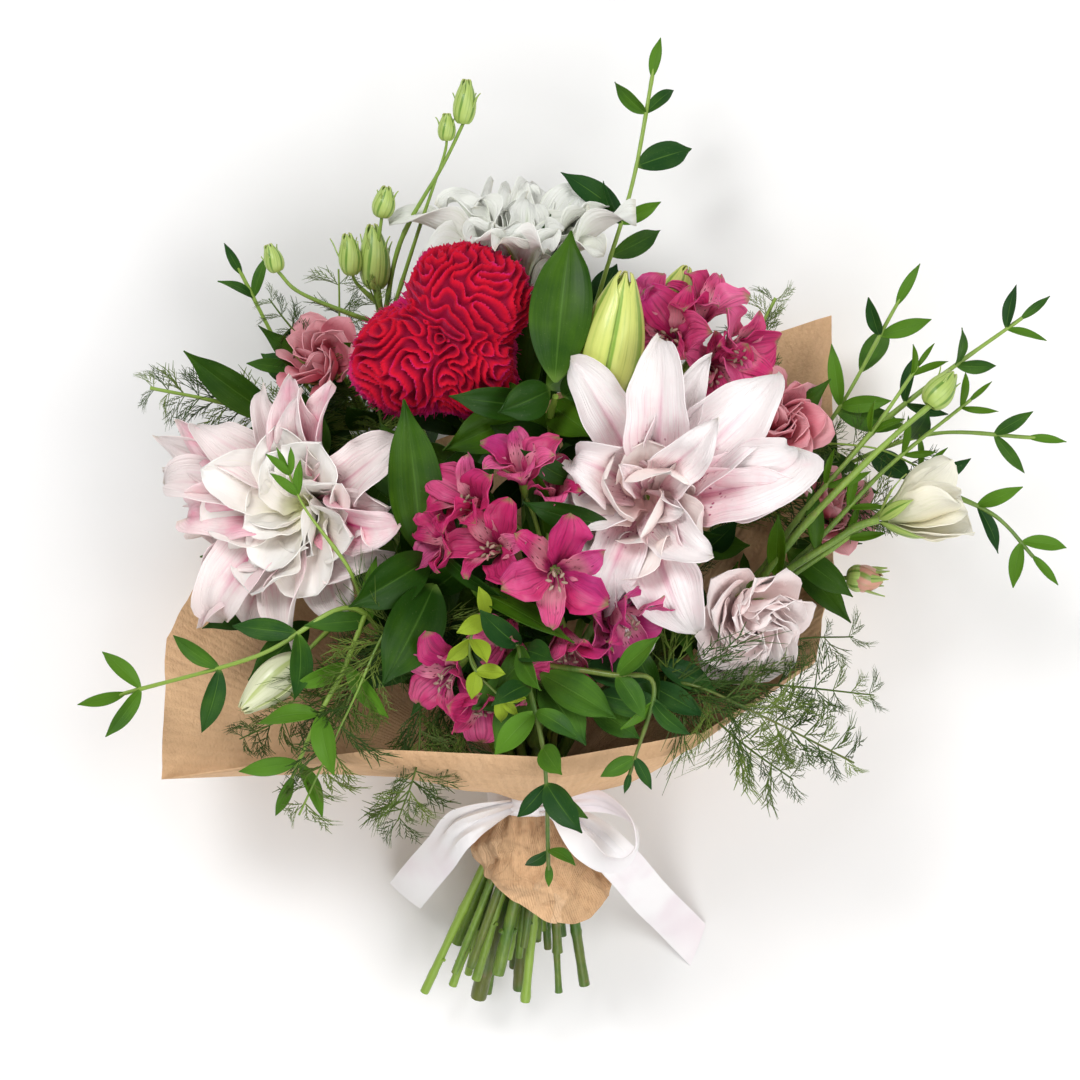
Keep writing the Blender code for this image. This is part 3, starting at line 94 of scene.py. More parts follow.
# Stems: radius, and the points each passes above the tie. The last is where its flower or tip begins.
STEMS = {
    "lily_right": (3.6, [(50, -20, 118), (66, 26, 150)]),
    "lily_left": (3.6, [(-100, -10, 88), (-128, 24, 112)]),
    "lily_top": (3.6, [(-10, 70, 88), (-12, 138, 112)]),
    "celosia": (4.6, [(-40, 40, 82), (-52, 106, 112)]),
    "alstroemeria_centre": (2.9, [(-4, -50, 130), (2, -14, 172)]),
    "alstroemeria_upper": (2.9, [(60, 50, 82), (88, 104, 118)]),
    "alstroemeria_low": (2.9, [(-30, -75, 132), (-42, -62, 160)]),
    "rose_left": (3.1, [(-95, 55, 60), (-124, 102, 88)]),
    "rose_right": (3.1, [(108, 30, 66), (138, 66, 100)]),
    "rose_low": (3.1, [(120, -34, 72), (168, 14, 94)]),
    "lisianthus_pale": (2.7, [(82, -70, 112), (112, -34, 138)]),
    "lisianthus_cream": (2.9, [(84, -66, 106), (136, -26, 130), (176, 0, 140), (202, 12, 138)]),
    "lisianthus_bud": (2.7, [(-70, 60, 60), (-92, 118, 92), (-99, 152, 104)]),
    "ruscus_left": (2.4, [(-62, -60, 116), (-72, -20, 156)]),
    "ruscus_middle": (2.4, [(8, 10, 112), (6, 66, 160), (9, 84, 184)]),
    "ruscus_outer": (2.4, [(-100, 20, 58), (-152, 66, 84)]),
    "eucalyptus_top": (2.5, [(20, 90, 66), (36, 150, 88), (56, 216, 96), (69, 286, 88)]),
    "eucalyptus_left": (2.4, [(-120, 60, 46), (-156, 112, 66), (-184, 166, 78)]),
    "eucalyptus_low_left": (2.5, [(-78, -80, 132), (-111, -40, 166), (-166, -68, 168), (-250, -92, 142)]),
    "eucalyptus_front": (2.5, [(6, -100, 166), (-12, -62, 206), (2, -122, 222), (5, -192, 196)]),
    "eucalyptus_right": (2.4, [(120, 20, 50), (172, 66, 84), (218, 146, 96)]),
    "eucalyptus_far_right": (2.5, [(120, 12, 50), (178, 42, 76), (236, 64, 100), (300, 62, 94)]),
    "fern_left": (2.1, [(-100, 40, 46), (-120, 96, 66), (-122, 164, 96)]),
    "fern_low_left": (2.1, [(-60, -90, 140), (-84, -48, 178), (-112, -100, 192), (-142, -162, 166)]),
    "fern_low_right": (2.1, [(56, -96, 142), (84, -84, 180), (132, -104, 184), (186, -132, 152)]),
    "fern_right": (2.1, [(110, 0, 60), (150, 52, 92), (196, 56, 118), (232, 42, 116)]),
}

# The way each bloom faces.
HEAD_AXES = {
    "lily_right": (-0.15, -0.05, 1), "lily_left": (-0.45, -0.1, 1), "lily_top": (0, 1, 0.3),
    "rose_left": (-0.5, 0.5, 1), "rose_right": (0.5, 0.4, 1), "rose_low": (0.7, 0.2, 1),
    "lisianthus_pale": (0.4, -0.5, 1), "lisianthus_cream": (1, 0.3, 0.12),
}

# Side branches: the stem they grow from, where they start, the points they pass and their radius.
BRANCHES = {
    "tall_bud": ("lisianthus_bud", (-92, 130, 96), [(-84, 180, 108), (-58, 226, 116), (-46, 250, 120)], 1.4),
    "high_bud": ("lisianthus_bud", (-95, 140, 99), [(-98, 170, 112), (-95, 194, 118)], 1.4),
    "left_bud": (
        "lisianthus_bud", (-94, 132, 96), [(-118, 138, 100), (-146, 150, 104), (-158, 162, 108)], 1.4),
    "near_bud": ("lisianthus_bud", (-96, 142, 100), [(-110, 154, 108), (-113, 160, 112)], 1.4),
    "right_bud": ("lisianthus_cream", (120, -40, 124), [(158, 10, 148), (204, 56, 146), (232, 80, 140)], 2.2),
    "big_lily_bud": ("lily_right", (52, -10, 124), [(44, 30, 146), (36, 66, 172), (34, 78, 180)], 2.0),
    "small_lily_bud": ("lily_top", (-6, 90, 92), [(40, 112, 96), (78, 138, 112)], 1.8),
    "low_lily_bud": (
        "lily_left", (-92, -18, 88), [(-112, -42, 124), (-128, -56, 146), (-142, -70, 155)], 1.8),
    "small_rose": ("rose_low", (140, -14, 76), [(172, -22, 92), (186, -23, 98)], 1.8),
    "low_left_spray": (
        "eucalyptus_low_left", (-104, -46, 162), [(-116, -78, 178), (-130, -104, 184), (-146, -140, 166)],
        1.5),
    "front_right_spray": (
        "eucalyptus_front", (-6, -78, 196), [(40, -78, 206), (66, -84, 212), (52, -136, 206)], 1.5),
    "far_right_high_spray": (
        "eucalyptus_far_right", (186, 46, 80), [(206, 70, 98), (246, 102, 108), (291, 134, 104)], 1.6),
    "far_right_low_spray": (
        "eucalyptus_far_right", (204, 52, 88), [(244, 30, 100), (276, 14, 100), (299, -10, 92)], 1.6),
    "left_low_fern": ("fern_left", (-108, 62, 52), [(-150, 72, 74), (-196, 84, 92), (-236, 92, 98)], 1.5),
    "right_high_fern": ("fern_right", (120, 20, 70), [(128, 76, 84), (130, 118, 104), (142, 146, 108)], 1.5),
}

# Large leaves: base, tip, width, arch in degrees and lean to one side.
LEAVES = {
    "ruscus_middle": [
        ((9, 92, 192), (17, 181, 186), 38, 34, 0.1), ((6, 88, 188), (-24, 73, 204), 24, 30, 0.2),
        ((14, 84, 180), (32, 98, 196), 20, 20, -0.2), ((2, 78, 176), (-53, 84, 200), 20, 26, 0.2),
    ],
    "ruscus_left": [
        ((-70, -8, 168), (-77, 82, 202), 33, 36, -0.1), ((-64, -10, 172), (-112, -37, 200), 30, 30, 0.3),
        ((-62, -26, 172), (-92, -84, 200), 36, 34, 0.2), ((-66, -30, 150), (-40, -10, 192), 22, 24, -0.3),
    ],
    "ruscus_outer": [
        ((-157, 72, 90), (-216, 113, 104), 22, 30, 0.2), ((-148, 64, 84), (-190, 56, 92), 22, 26, 0.1),
        ((-130, 52, 76), (-150, 96, 104), 20, 24, 0.1),
    ],
    "alstroemeria_centre": [
        ((6, -8, 168), (-2, 48, 206), 18, 30, 0.3), ((-6, -26, 160), (-58, -8, 190), 18, 40, -0.3),
    ],
    "alstroemeria_low": [
        ((-36, -70, 152), (-8, -104, 188), 22, 36, 0.2), ((-44, -64, 150), (-74, -104, 182), 22, 36, -0.2),
    ],
    "lily_top": [((-16, 110, 96), (-58, 182, 104), 18, 30, 0.1)],
    "lily_right": [((58, 4, 136), (92, -72, 176), 20, 40, 0.1)],
    "lily_left": [((-116, 8, 98), (-176, -36, 124), 22, 36, 0.1)],
    "lisianthus_cream": [((150, -6, 112), (188, -34, 118), 18, 30, 0.1)],
    "rose_right": [((130, 52, 88), (176, 96, 112), 18, 24, 0.1)],
    "rose_left": [((-116, 88, 78), (-172, 128, 96), 18, 24, 0.1)],
    "rose_low": [((150, -4, 86), (186, -52, 96), 18, 24, 0.1)],
    "eucalyptus_right": [((150, 50, 70), (196, 44, 84), 18, 24, 0.1)],
}

# Leaf pairs of each line: the share of it where the first and last pair stand, how many, length and width.
LEAF_PAIRS = {
    "eucalyptus_top": (0.58, 0.95, 4, 32, 13),
    "eucalyptus_left": (0.66, 0.96, 4, 28, 11),
    "eucalyptus_low_left": (0.64, 0.97, 4, 41, 14),
    "low_left_spray": (0.3, 0.9, 3, 37, 14),
    "eucalyptus_front": (0.66, 0.97, 4, 38, 18),
    "front_right_spray": (0.4, 0.92, 3, 32, 15),
    "eucalyptus_right": (0.66, 0.95, 4, 37, 12),
    "eucalyptus_far_right": (0.74, 0.95, 2, 31, 10),
    "far_right_high_spray": (0.4, 0.92, 3, 29, 10),
    "far_right_low_spray": (0.3, 0.9, 3, 32, 10.5),
}

# Fern of each line: the share of it where its first and last twig stand, how many pairs, and twig length.
FRONDS = {
    "fern_left": (0.5, 0.98, 14, 38), "left_low_fern": (0.25, 0.98, 12, 32),
    "fern_low_left": (0.56, 0.98, 14, 42), "fern_low_right": (0.6, 0.98, 14, 44),
    "fern_right": (0.5, 0.98, 14, 36), "right_high_fern": (0.3, 0.98, 11, 28),
}

# Fern branches of the scene alone: the stem, the points each passes, how many pairs of twigs, their length.
EXTRA_FRONDS = [
    ("fern_low_left", [(-70, -90, 158), (-72, -130, 168), (-84, -166, 160)], 12, 36),
    ("fern_low_left", [(-92, -76, 164), (-140, -100, 164), (-178, -118, 152)], 11, 36),
    ("fern_low_left", [(-62, -82, 158), (-44, -112, 168), (-52, -138, 166)], 9, 30),
    ("fern_low_right", [(94, -84, 166), (144, -86, 162), (198, -92, 150)], 10, 34),
    ("fern_low_right", [(84, -92, 170), (122, -122, 168), (150, -142, 150)], 11, 40),
    ("fern_low_right", [(110, -74, 140), (150, -60, 128), (188, -58, 120)], 7, 28),
    ("fern_left", [(-116, 90, 80), (-150, 128, 96), (-164, 146, 100)], 12, 28),
    ("fern_left", [(-100, 96, 92), (-96, 130, 112), (-104, 156, 118)], 10, 26),
    ("fern_right", [(130, 24, 96), (176, 24, 112), (216, 14, 112)], 12, 34),
]

# Stalks and leaves of the scene alone: the stem they belong to, the points each stalk passes and its radius.
EXTRA_STALKS = {
    "second_bud": (
        "lisianthus_bud", [(-92, 130, 96), (-72, 190, 110), (-58, 230, 116), (-56, 240, 118)], 1.2),
    "right_stalk_a": (
        "lisianthus_cream", [(118, -42, 124), (150, 8, 136), (196, 62, 134), (226, 104, 128)], 1.7),
    "right_stalk_b": (
        "lisianthus_cream", [(112, -48, 122), (160, -6, 132), (206, 42, 132), (258, 84, 124)], 1.6),
    "right_stalk_c": (
        "lisianthus_cream", [(104, -54, 118), (150, -22, 124), (196, 10, 124), (232, 44, 118)], 1.6),
    "near_sprig": (
        "eucalyptus_low_left", [(-104, -36, 176), (-113, -14, 196), (-136, 18, 208), (-146, 40, 210)], 1.1),
    "yellow_sprig": (
        "eucalyptus_front", [(-12, -62, 206), (-34, -44, 214), (-40, -70, 218), (-22, -92, 216)], 1.0),
}
EXTRA_LEAVES = {
    "alstroemeria_centre": [
        ((40, 10, 194), (-10, 22, 216), 17, 40, 0.5, 30), ((-58, -6, 190), (-20, -36, 214), 15, 46, -0.5, 60),
        ((-40, -28, 202), (18, -62, 218), 20, 34, 0.4, -50), ((20, 34, 190), (-12, 52, 206), 14, 34, 0.4, 40),
        ((52, -60, 186), (70, -96, 190), 15, 40, 0.3, 40), ((-4, -60, 190), (-26, -86, 204), 17, 40, 0.3, 20),
    ],
    "celosia": [
        ((-18, 70, 126), (-12, 158, 140), 36, 20, 0.1, 0), ((0, 80, 120), (6, 152, 132), 34, 20, 0, 0),
        ((-4, 50, 126), (-28, 88, 146), 32, 20, 0, 0), ((-10, 110, 110), (4, 196, 118), 30, 24, 0.2, 0),
    ],
    "ruscus_middle": [
        ((2, 80, 150), (-58, 54, 176), 30, 30, 0.1, 0), ((6, 70, 150), (54, 66, 166), 30, 30, 0.1, 0),
        ((6, 80, 158), (32, 58, 186), 26, 30, 0.1, 0), ((-2, 60, 140), (-34, 96, 140), 30, 30, 0.1, 0),
        ((4, 90, 150), (44, 118, 150), 28, 30, 0.1, 0), ((0, 60, 130), (-10, 20, 170), 26, 40, 0.2, 0),
    ],
    "ruscus_left": [
        ((-72, -20, 140), (-62, 40, 170), 34, 30, -0.2, 0),
        ((-64, -40, 140), (-104, -92, 156), 34, 30, 0.2, 0),
        ((-74, 20, 130), (-96, 70, 128), 34, 26, 0.2, 0), ((-60, 10, 120), (-30, 60, 120), 34, 26, 0.2, 0),
        ((-60, -50, 140), (-20, -86, 168), 26, 34, 0.2, 0),
    ],
    "eucalyptus_front": [
        ((0, -78, 194), (44, -104, 200), 24, 30, 0.3, 0), ((-2, -80, 196), (-40, -98, 196), 22, 30, -0.3, 0),
        ((0, -84, 186), (26, -120, 196), 24, 40, 0.3, 0), ((-4, -84, 186), (-26, -122, 194), 22, 40, -0.3, 0),
        ((26, -74, 190), (62, -82, 200), 19, 30, 0.3, 0), ((34, -90, 186), (74, -98, 192), 19, 30, -0.2, 0),
        ((30, -98, 180), (58, -116, 186), 17, 30, 0.2, 0), ((62, -84, 178), (96, -104, 184), 16, 30, 0.2, 0),
        ((70, -72, 172), (104, -88, 180), 16, 30, 0.2, 0),
    ],
    "eucalyptus_left": [
        ((-150, 0, 70), (-206, -12, 92), 20, 40, 0.2, 0), ((-150, -30, 84), (-204, -52, 110), 22, 34, 0.2, 0),
        ((-140, -50, 96), (-176, -82, 128), 22, 34, 0.2, 0),
    ],
}

# Small leaves along the stalks of the scene alone: first and last place, how many pairs, length, width and
# how closely they lie along the stalk.
EXTRA_PAIRS = {
    "near_sprig": (0.84, 0.97, 2, 20, 6, 3.0), "yellow_sprig": (0.3, 0.97, 4, 18, 11, 0.8),
    "right_stalk_a": (0.5, 0.96, 3, 24, 6, 1.4), "right_stalk_b": (0.5, 0.96, 3, 24, 6, 1.4),
    "right_stalk_c": (0.6, 0.96, 2, 24, 6, 1.4),
}

# Paper: for each place round the tie its angle, the rim point, the point that bends the wall, how far the
# skirt reaches below the tie, and how far the rim folds over.
PAPER_WALL = [
    (88, (12, -127, 195), (8, -172, 150), 60, 1),
    (60, (96, -113, 180), (56, -158, 142), 60, 1),
    (35, (165, -72, 124), (104, -112, 116), 50, 0.6),
    (10, (179, -12, 72), (112, -78, 62), 36, 0),
    (-20, (179, 138, 60), (118, 0, 20), 24, 0),
    (-50, (90, 110, 0.4), (48, -30, -50), 26, 0),
    (-88, (0, 90, 0.4), (-3, -60, -50), 30, 0),
    (-122, (-96, 50, 0.4), (-50, -60, -50), 26, 0),
    (-150, (-200, -5, 40), (-104, -92, 10), 24, 0),
    (-168, (-228, -60, 75), (-120, -118, 62), 26, 0),
    (-188, (-228, -144, 110), (-118, -140, 92), 30, 0),
    (-215, (-144, -130, 150), (-84, -146, 122), 38, 0.6),
    (-240, (-93, -123, 178), (-52, -158, 142), 50, 1),
]
SKIRT_FLARE = 19.0
SKIRT_DRIFT = 15.0

KNOT_LONG = 13.0
KNOT_THICK = 6.0
TAIL_LEFT = [(-46, -172, 112), (-60, -190, 88), (-74, -208, 52), (-84, -222, 14)]
TAIL_LEFT_SIDES = [(0.2, -1, 0), (0.5, -0.8, 0.1), (0.65, -0.75, 0.1), (0.65, -0.7, 0)]
TAIL_RIGHT = [(30, -176, 115), (50, -197, 92), (68, -220, 48), (84, -238, 12), (99, -254, 1.2)]
TAIL_RIGHT_SIDES = [(0.5, 0.9, 0), (0.7, 0.6, 0), (0.8, 0.65, 0), (0.8, 0.6, 0), (0.55, 0.85, 0)]
LOOP = [
    (14, -157, 131), (36, -156, 137), (54, -167, 140), (58, -181, 139), (51, -191, 136), (38, -193, 132),
    (26, -184, 130), (17, -173, 129), (10, -164, 126),
]
LOOP_SIDES = [
    (0, 1, 0), (-0.1, 1, 0.1), (-0.4, 0.8, 0.5), (-0.3, 0.4, 0.9), (-0.1, 0.2, 1), (0.1, 0.4, 0.9),
    (0.1, 0.6, 0.7), (0.5, 0.6, 0.4), (0.7, 0.6, 0.2), (0.7, 0.6, 0.1),
]

# Lily petals: azimuth, length, width, slope at the root, change of slope, height of the root and hook.
LILY_PETALS = {
    "lily_right": [
        (84, 118, 48, 66, -62, 10, -20), (48, 122, 50, 58, -74, 8, -10), (10, 120, 52, 56, -78, 10, -60),
        (-65, 96, 54, 60, -66, 8, -10), (-35, 74, 40, 66, -30, 14, -20), (-100, 84, 40, 66, -56, 10, -20),
        (153, 72, 44, 68, -30, 10, -90), (118, 104, 42, 60, -62, 8, 0), (70, 92, 36, 70, -30, 15, -20),
        (200, 66, 40, 66, -40, 12, -40), (20, 52, 22, 76, -8, 16, 0), (140, 50, 20, 78, -10, 16, 0),
    ],
    "lily_left": [
        (95, 92, 34, 62, -56, 8, -10), (35, 96, 40, 60, -62, 8, -20), (-8, 86, 42, 62, -56, 10, -20),
        (-84, 100, 42, 58, -66, 8, -30), (-128, 104, 44, 58, -66, 8, -30), (170, 104, 36, 60, -66, 8, -20),
        (140, 92, 34, 60, -60, 10, -20), (205, 84, 42, 62, -50, 12, -30),
    ],
    "lily_top": [
        (0, 84, 42, 62, -46, 6, 20), (180, 92, 44, 60, -50, 6, 10), (60, 82, 40, 66, -42, 8, 10),
        (120, 84, 42, 64, -44, 8, 10), (-60, 76, 38, 66, -46, 8, 0), (-120, 72, 38, 68, -46, 8, -10),
        (30, 62, 30, 72, -26, 12, 0), (150, 62, 30, 72, -26, 12, 0), (90, 56, 26, 74, -20, 14, 0),
        (-90, 54, 24, 76, -20, 12, 0),
    ],
}

# Extra ruffled petals: azimuth, length, width, slope, change of slope and height of the root.
LILY_RUFFLES = {
    "lily_right": [
        (78, 108, 28, 56, -48, 10), (-2, 112, 36, 56, -68, 8), (-84, 100, 40, 52, -60, 8),
        (176, 78, 46, 56, -50, 8),
        (214, 70, 36, 52, -46, 8),
    ],
    "lily_left": [
        (116, 88, 28, 60, -48, 8), (80, 94, 26, 64, -44, 8), (58, 92, 32, 58, -50, 8),
        (160, 108, 26, 48, -52, 8),
        (149, 100, 26, 50, -50, 8), (182, 104, 30, 46, -52, 8), (194, 86, 44, 48, -50, 8),
        (-137, 104, 36, 50, -60, 8),
        (-110, 92, 34, 50, -58, 8), (-150, 82, 50, 52, -56, 8), (-20, 78, 50, 56, -56, 8),
        (14, 80, 36, 62, -54, 8),
        (-52, 84, 40, 50, -58, 8),
    ],
    "lily_top": [
        (40, 86, 34, 66, -44, 10), (75, 84, 32, 70, -40, 10), (105, 88, 32, 68, -42, 10),
        (140, 86, 34, 66, -46, 10),
        (-100, 74, 40, 66, -50, 10), (-140, 76, 40, 62, -60, 8), (-30, 74, 36, 62, -56, 8),
    ],
}

# The short petals in the middle: azimuth, length, width, slope, change of slope, cup and bluntness.
LILY_HEARTS = {
    "lily_right": [
        (100, 48, 44, 52, 2, 0.9, 0.42), (180, 54, 54, 42, 4, 0.9, 0.4), (262, 56, 60, 36, 2, 0.85, 0.4),
        (338, 52, 48, 40, -8, 0.85, 0.45), (48, 50, 18, 56, -14, 1.0, 0.9), (72, 46, 15, 60, -12, 1.0, 1.0),
    ],
    "lily_left": [
        (62, 64, 54, 54, -20, 0.95, 0.5), (112, 62, 48, 56, -22, 0.95, 0.55),
        (162, 70, 44, 50, -22, 1.0, 0.6),
        (204, 66, 50, 46, -22, 1.0, 0.55), (250, 66, 62, 42, -22, 0.9, 0.45),
        (300, 60, 54, 44, -24, 0.95, 0.5),
        (345, 56, 46, 50, -22, 1.0, 0.55), (216, 46, 48, 56, -4, 1.1, 0.45), (310, 42, 42, 58, 0, 1.1, 0.5),
        (36, 58, 46, 60, -22, 1.0, 0.5), (270, 52, 50, 54, -14, 1.0, 0.45), (132, 50, 44, 62, -12, 1.1, 0.5),
        (104, 48, 14, 68, -10, 1.1, 1.0), (136, 44, 13, 66, -10, 1.1, 1.0), (80, 42, 12, 72, -6, 1.1, 1.0),
    ],
    "lily_top": [
        (90, 54, 44, 54, -20, 1.1, 0.6), (150, 52, 42, 56, -20, 1.1, 0.6), (30, 52, 42, 56, -20, 1.1, 0.6),
        (210, 50, 38, 58, -16, 1.1, 0.6), (330, 50, 38, 58, -16, 1.1, 0.6), (270, 46, 36, 60, -16, 1.1, 0.6),
    ],
}

# The small cupped petals in the very middle of a lily: count, length, width, slope, change of slope and turn.
LILY_MIDDLES = {
    "lily_right": [(3, 54, 50, 40, 80, 200)],
    "lily_left": [(4, 42, 34, 40, 22, 50), (3, 32, 18, 60, 20, 10)],
    "lily_top": [(4, 40, 34, 42, 26, 30), (3, 30, 24, 60, 26, 60)],
}

# Cupped blooms: radius, layers of petals, each a count, reach, width, slope, curl, turn and hook, and how
# ruffled the petals are.
ROSE_LAYERS = [
    (6, 1.4, 1.15, 30, 40, 0, -60), (5, 1.3, 1.05, 46, 44, 36, -50), (5, 1.2, 0.9, 62, 42, 10, -30),
    (4, 1.12, 0.75, 76, 34, 50, -10), (3, 1.05, 0.6, 84, 26, 20, 0),
]
LISIANTHUS_LAYERS = [
    (6, 1.25, 1.3, 20, 34, 10, -50), (6, 1.15, 1.3, 30, 42, 46, -60), (6, 1.1, 1.15, 44, 40, 76, -60),
    (5, 1.08, 1.0, 58, 36, 20, -50), (5, 1.05, 0.8, 72, 30, 60, -40), (4, 1.0, 0.6, 84, 22, 10, -20),
]
CUP_LAYERS = [
    (5, 1.6, 1.15, 62, 36, 10, -40), (4, 1.6, 1.05, 72, 32, 46, -30), (3, 1.55, 0.9, 80, 26, 80, -20),
    (3, 1.45, 0.7, 84, 20, 20, 0),
]
CUP_BLOOMS = {
    "rose_left": (
        26, ROSE_LAYERS, 0.02), "rose_right": (26, ROSE_LAYERS, 0.02), "rose_low": (23, ROSE_LAYERS, 0.02),
    "lisianthus_pale": (34, LISIANTHUS_LAYERS, 0.024), "lisianthus_cream": (31, CUP_LAYERS, 0.02),
}

# Florets of each alstroemeria head: centre, facing direction, size, turn and slope of the petals.
ALSTROEMERIA = {
    "alstroemeria_centre": [
        ((9, -18, 214), (0.05, -0.1, 1), 40, 90, 58), ((-38, 22, 200), (-0.7, 0.35, 0.7), 38, 20, 72),
        ((-10, 38, 204), (-0.1, 0.8, 0.7), 36, 50, 76), ((46, -42, 196), (0.7, -0.6, 0.6), 38, 0, 68),
        ((14, -58, 192), (0.2, -1, 0.5), 38, 30, 70), ((-26, -4, 206), (-0.5, 0.2, 0.9), 34, 70, 64),
        ((-18, -52, 190), (-0.5, -0.8, 0.6), 32, 10, 74), ((8, 26, 188), (0.1, 0.7, 0.7), 32, 40, 80),
        ((36, -44, 188), (0.7, -0.5, 0.6), 32, 30, 76), ((-50, 0, 186), (-0.9, 0, 0.5), 34, 0, 76),
    ],
    "alstroemeria_upper": [
        ((80, 120, 152), (-0.4, 0.5, 1), 40, 0, 72), ((112, 112, 148), (0.7, 0.2, 0.9), 38, 30, 74),
        ((96, 134, 142), (0.1, 1, 0.6), 36, 10, 78), ((64, 136, 138), (-0.7, 0.8, 0.5), 30, 40, 78),
        ((100, 102, 146), (0.3, -0.2, 1), 34, 50, 74),
    ],
    "alstroemeria_low": [
        ((-52, -76, 186), (-0.6, -0.4, 0.9), 34, 0, 70), ((-34, -92, 182), (0.1, -0.9, 0.7), 34, 30, 72),
    ],
}

# The celosia head: lobes, each a centre and a size along X, Y and Z.
CELOSIA_LOBES = [
    ((-42, 142, 166), (38, 34, 34)), ((-78, 108, 160), (34, 34, 32)), ((-44, 106, 158), (34, 34, 32)),
    ((-60, 124, 160), (27, 25, 27)),
]

# Green buds: the line they end, their tip and width. Lily buds and the rose bud: the line, tip and width.
GREEN_BUDS = {
    "lisianthus_bud": [
        ("lisianthus_bud", (-101, 190, 112), 18), ("tall_bud", (-44, 276, 124), 13),
        ("high_bud", (-92, 212, 122), 13),
        ("left_bud", (-164, 178, 110), 11), ("near_bud", (-116, 184, 118), 13),
        ("second_bud", (-56, 256, 120), 10),
    ],
    "lisianthus_cream": [("right_bud", (246, 100, 138), 17)],
}
LILY_BUDS = {
    "lily_bud_big": (
        "big_lily_bud", (50, 156, 196), 38), "lily_bud_small": ("small_lily_bud", (88, 164, 120), 19),
    "lily_bud_low": ("low_lily_bud", (-176, -100, 164), 24),
}
ROSE_BUD = ("small_rose", (210, -24, 102), 18)


def measure(name, value, text):
    return FloatProperty(name=name, description=text, default=value, unit="LENGTH")


class BouquetSizes(bpy.types.PropertyGroup):
    """Sizes of the finer shapes."""

    petal: measure("Petal thickness", 0.0005, "Thickness of the petals")
    leaf: measure("Leaf thickness", 0.0005, "Thickness of the leaves")
    paper: measure("Paper thickness", 0.0005, "Thickness of the paper")
    satin: measure("Ribbon thickness", 0.0005, "Thickness of the ribbon")
    ribbon: measure("Ribbon width", 0.025, "Width of the ribbon")
    fold: measure("Celosia folds", 0.0068, "Depth of the folds")
    needle: measure("Fern needle", 0.00042, "Radius of a needle")
    seed: IntProperty(name="Seed", description="Seed of the small irregularities", default=7)


def shade(name, value, text):
    return FloatVectorProperty(name=name, description=text, default=value, subtype="COLOR", min=0, max=1)


class BouquetColours(bpy.types.PropertyGroup):
    """Colours of the flowers, greenery, paper and ribbon."""

    lily: shade("Lily", (0.96, 0.89, 0.89), "Pale part of the pink lilies")
    lily_heart: shade("Lily heart", (0.99, 0.83, 0.78), "Short petals in the middle of the pink lily")
    blush: shade("Lily blush", (0.92, 0.54, 0.60), "Pink wash of the lilies")
    stripe: shade("Lily stripe", (0.68, 0.14, 0.32), "Midrib and dots of the lilies")
    white: shade("White lily", (0.93, 0.94, 0.89), "Petals of the white lily")
    lime: shade("Bud", (0.62, 0.68, 0.17), "Lily buds and pale midribs")
    lime_dark: shade("Bud stripe", (0.22, 0.38, 0.04), "Stripes of the buds")
    red: shade("Celosia", (0.62, 0.001, 0.022), "Ridges of the celosia")
    # Painted shade: the darker red laid in the celosia's folds.
    celosia_fold_shade: shade("Celosia folds", (0.28, 0.0, 0.03), "Folds of the celosia")
    # Painted sheen: the purple-red laid on the celosia's crests and round its edge as seen from above.
    celosia_sheen: shade("Celosia edge", (0.66, 0.012, 0.17), "Crests and edge of the celosia")
    alstro: shade("Alstroemeria", (0.56, 0.022, 0.14), "Petals of the alstroemeria")
    # Dark veins of the alstroemeria, and painted shade at the petals' roots in the throat of each floret.
    alstro_veins_and_shade: shade("Alstroemeria throat", (0.17, 0.006, 0.04), "Dashes and backs of the alstroemeria")
    rose: shade("Rose", (0.74, 0.20, 0.26), "Rose petals")
    # Painted light: the lighter colour towards the tips of the rose petals.
    rose_light: shade("Rose edge", (0.84, 0.38, 0.42), "Edges of the rose petals")
    pale: shade("Pale lisianthus", (0.99, 0.81, 0.80), "Pale pink petals")
    cream: shade("Cream", (0.86, 0.81, 0.62), "Cream petals")
    stem: shade("Stem", (0.06, 0.145, 0.018), "Stems")
    stem_light: shade("Light stem", (0.25, 0.39, 0.055), "Young stems and buds")
    ruscus: shade("Dark leaf", (0.013, 0.052, 0.003), "Large glossy leaves")
    ruscus_light: shade("Leaf light", (0.066, 0.16, 0.004), "Lit parts of the glossy leaves")
    sprig: shade("Sprig leaf", (0.014, 0.060, 0.012), "Paired leaves")
    sprig_light: shade("Sprig light", (0.085, 0.21, 0.014), "Young paired leaves")
    fern: shade("Fern", (0.036, 0.078, 0.011), "Fern needles")
    kraft: shade("Kraft", (0.80, 0.52, 0.30), "Kraft paper")
    kraft_dark: shade("Kraft dark", (0.60, 0.36, 0.19), "Fibres and creases of the paper")
    satin: shade("Satin", (0.98, 0.96, 0.97), "Ribbon")
    # Painted shade: the pinker, darker tone laid in slow patches over the ribbon.
    satin_painted_shade: shade("Satin shade", (0.88, 0.76, 0.82), "Slow changes over the ribbon")
    floor: shade("Floor", (0.97, 0.97, 0.97), "Floor")


def sizes():
    return bpy.context.scene.bouquet_sizes


def colours():
    return bpy.context.scene.bouquet_colours


# Small irregularities

vary = random.uniform


def sway(size):
    """A random number up to a size, to either side."""
    return random.uniform(-size, size)


# Directions and lines


def unit(v):
    v = np.asarray(v, float)
    return v / np.linalg.norm(v)


def turned_about(v, axis, angle):
    """The vector v turned about a unit axis."""
    across = v * math.cos(angle) + np.cross(axis, v) * math.sin(angle)
    return across + axis * (axis @ v) * (1 - math.cos(angle))


def smooth_line(points, count):
    """A smooth curve through the points, as count + 1 points."""
    p = np.asarray(points, float)
    ends = np.vstack([2 * p[0] - p[1], p, 2 * p[-1] - p[-2]])
    u = np.linspace(0, len(p) - 1, count + 1)
    k = np.minimum(u.astype(int), len(p) - 2)
    t = (u - k)[:, None]
    a, b, c, d = ends[k], ends[k + 1], ends[k + 2], ends[k + 3]
    return 0.5 * (2 * b + (c - a) * t + (2 * a - 5 * b + 4 * c - d) * t**2 + (3 * b - a - 3 * c + d) * t**3)


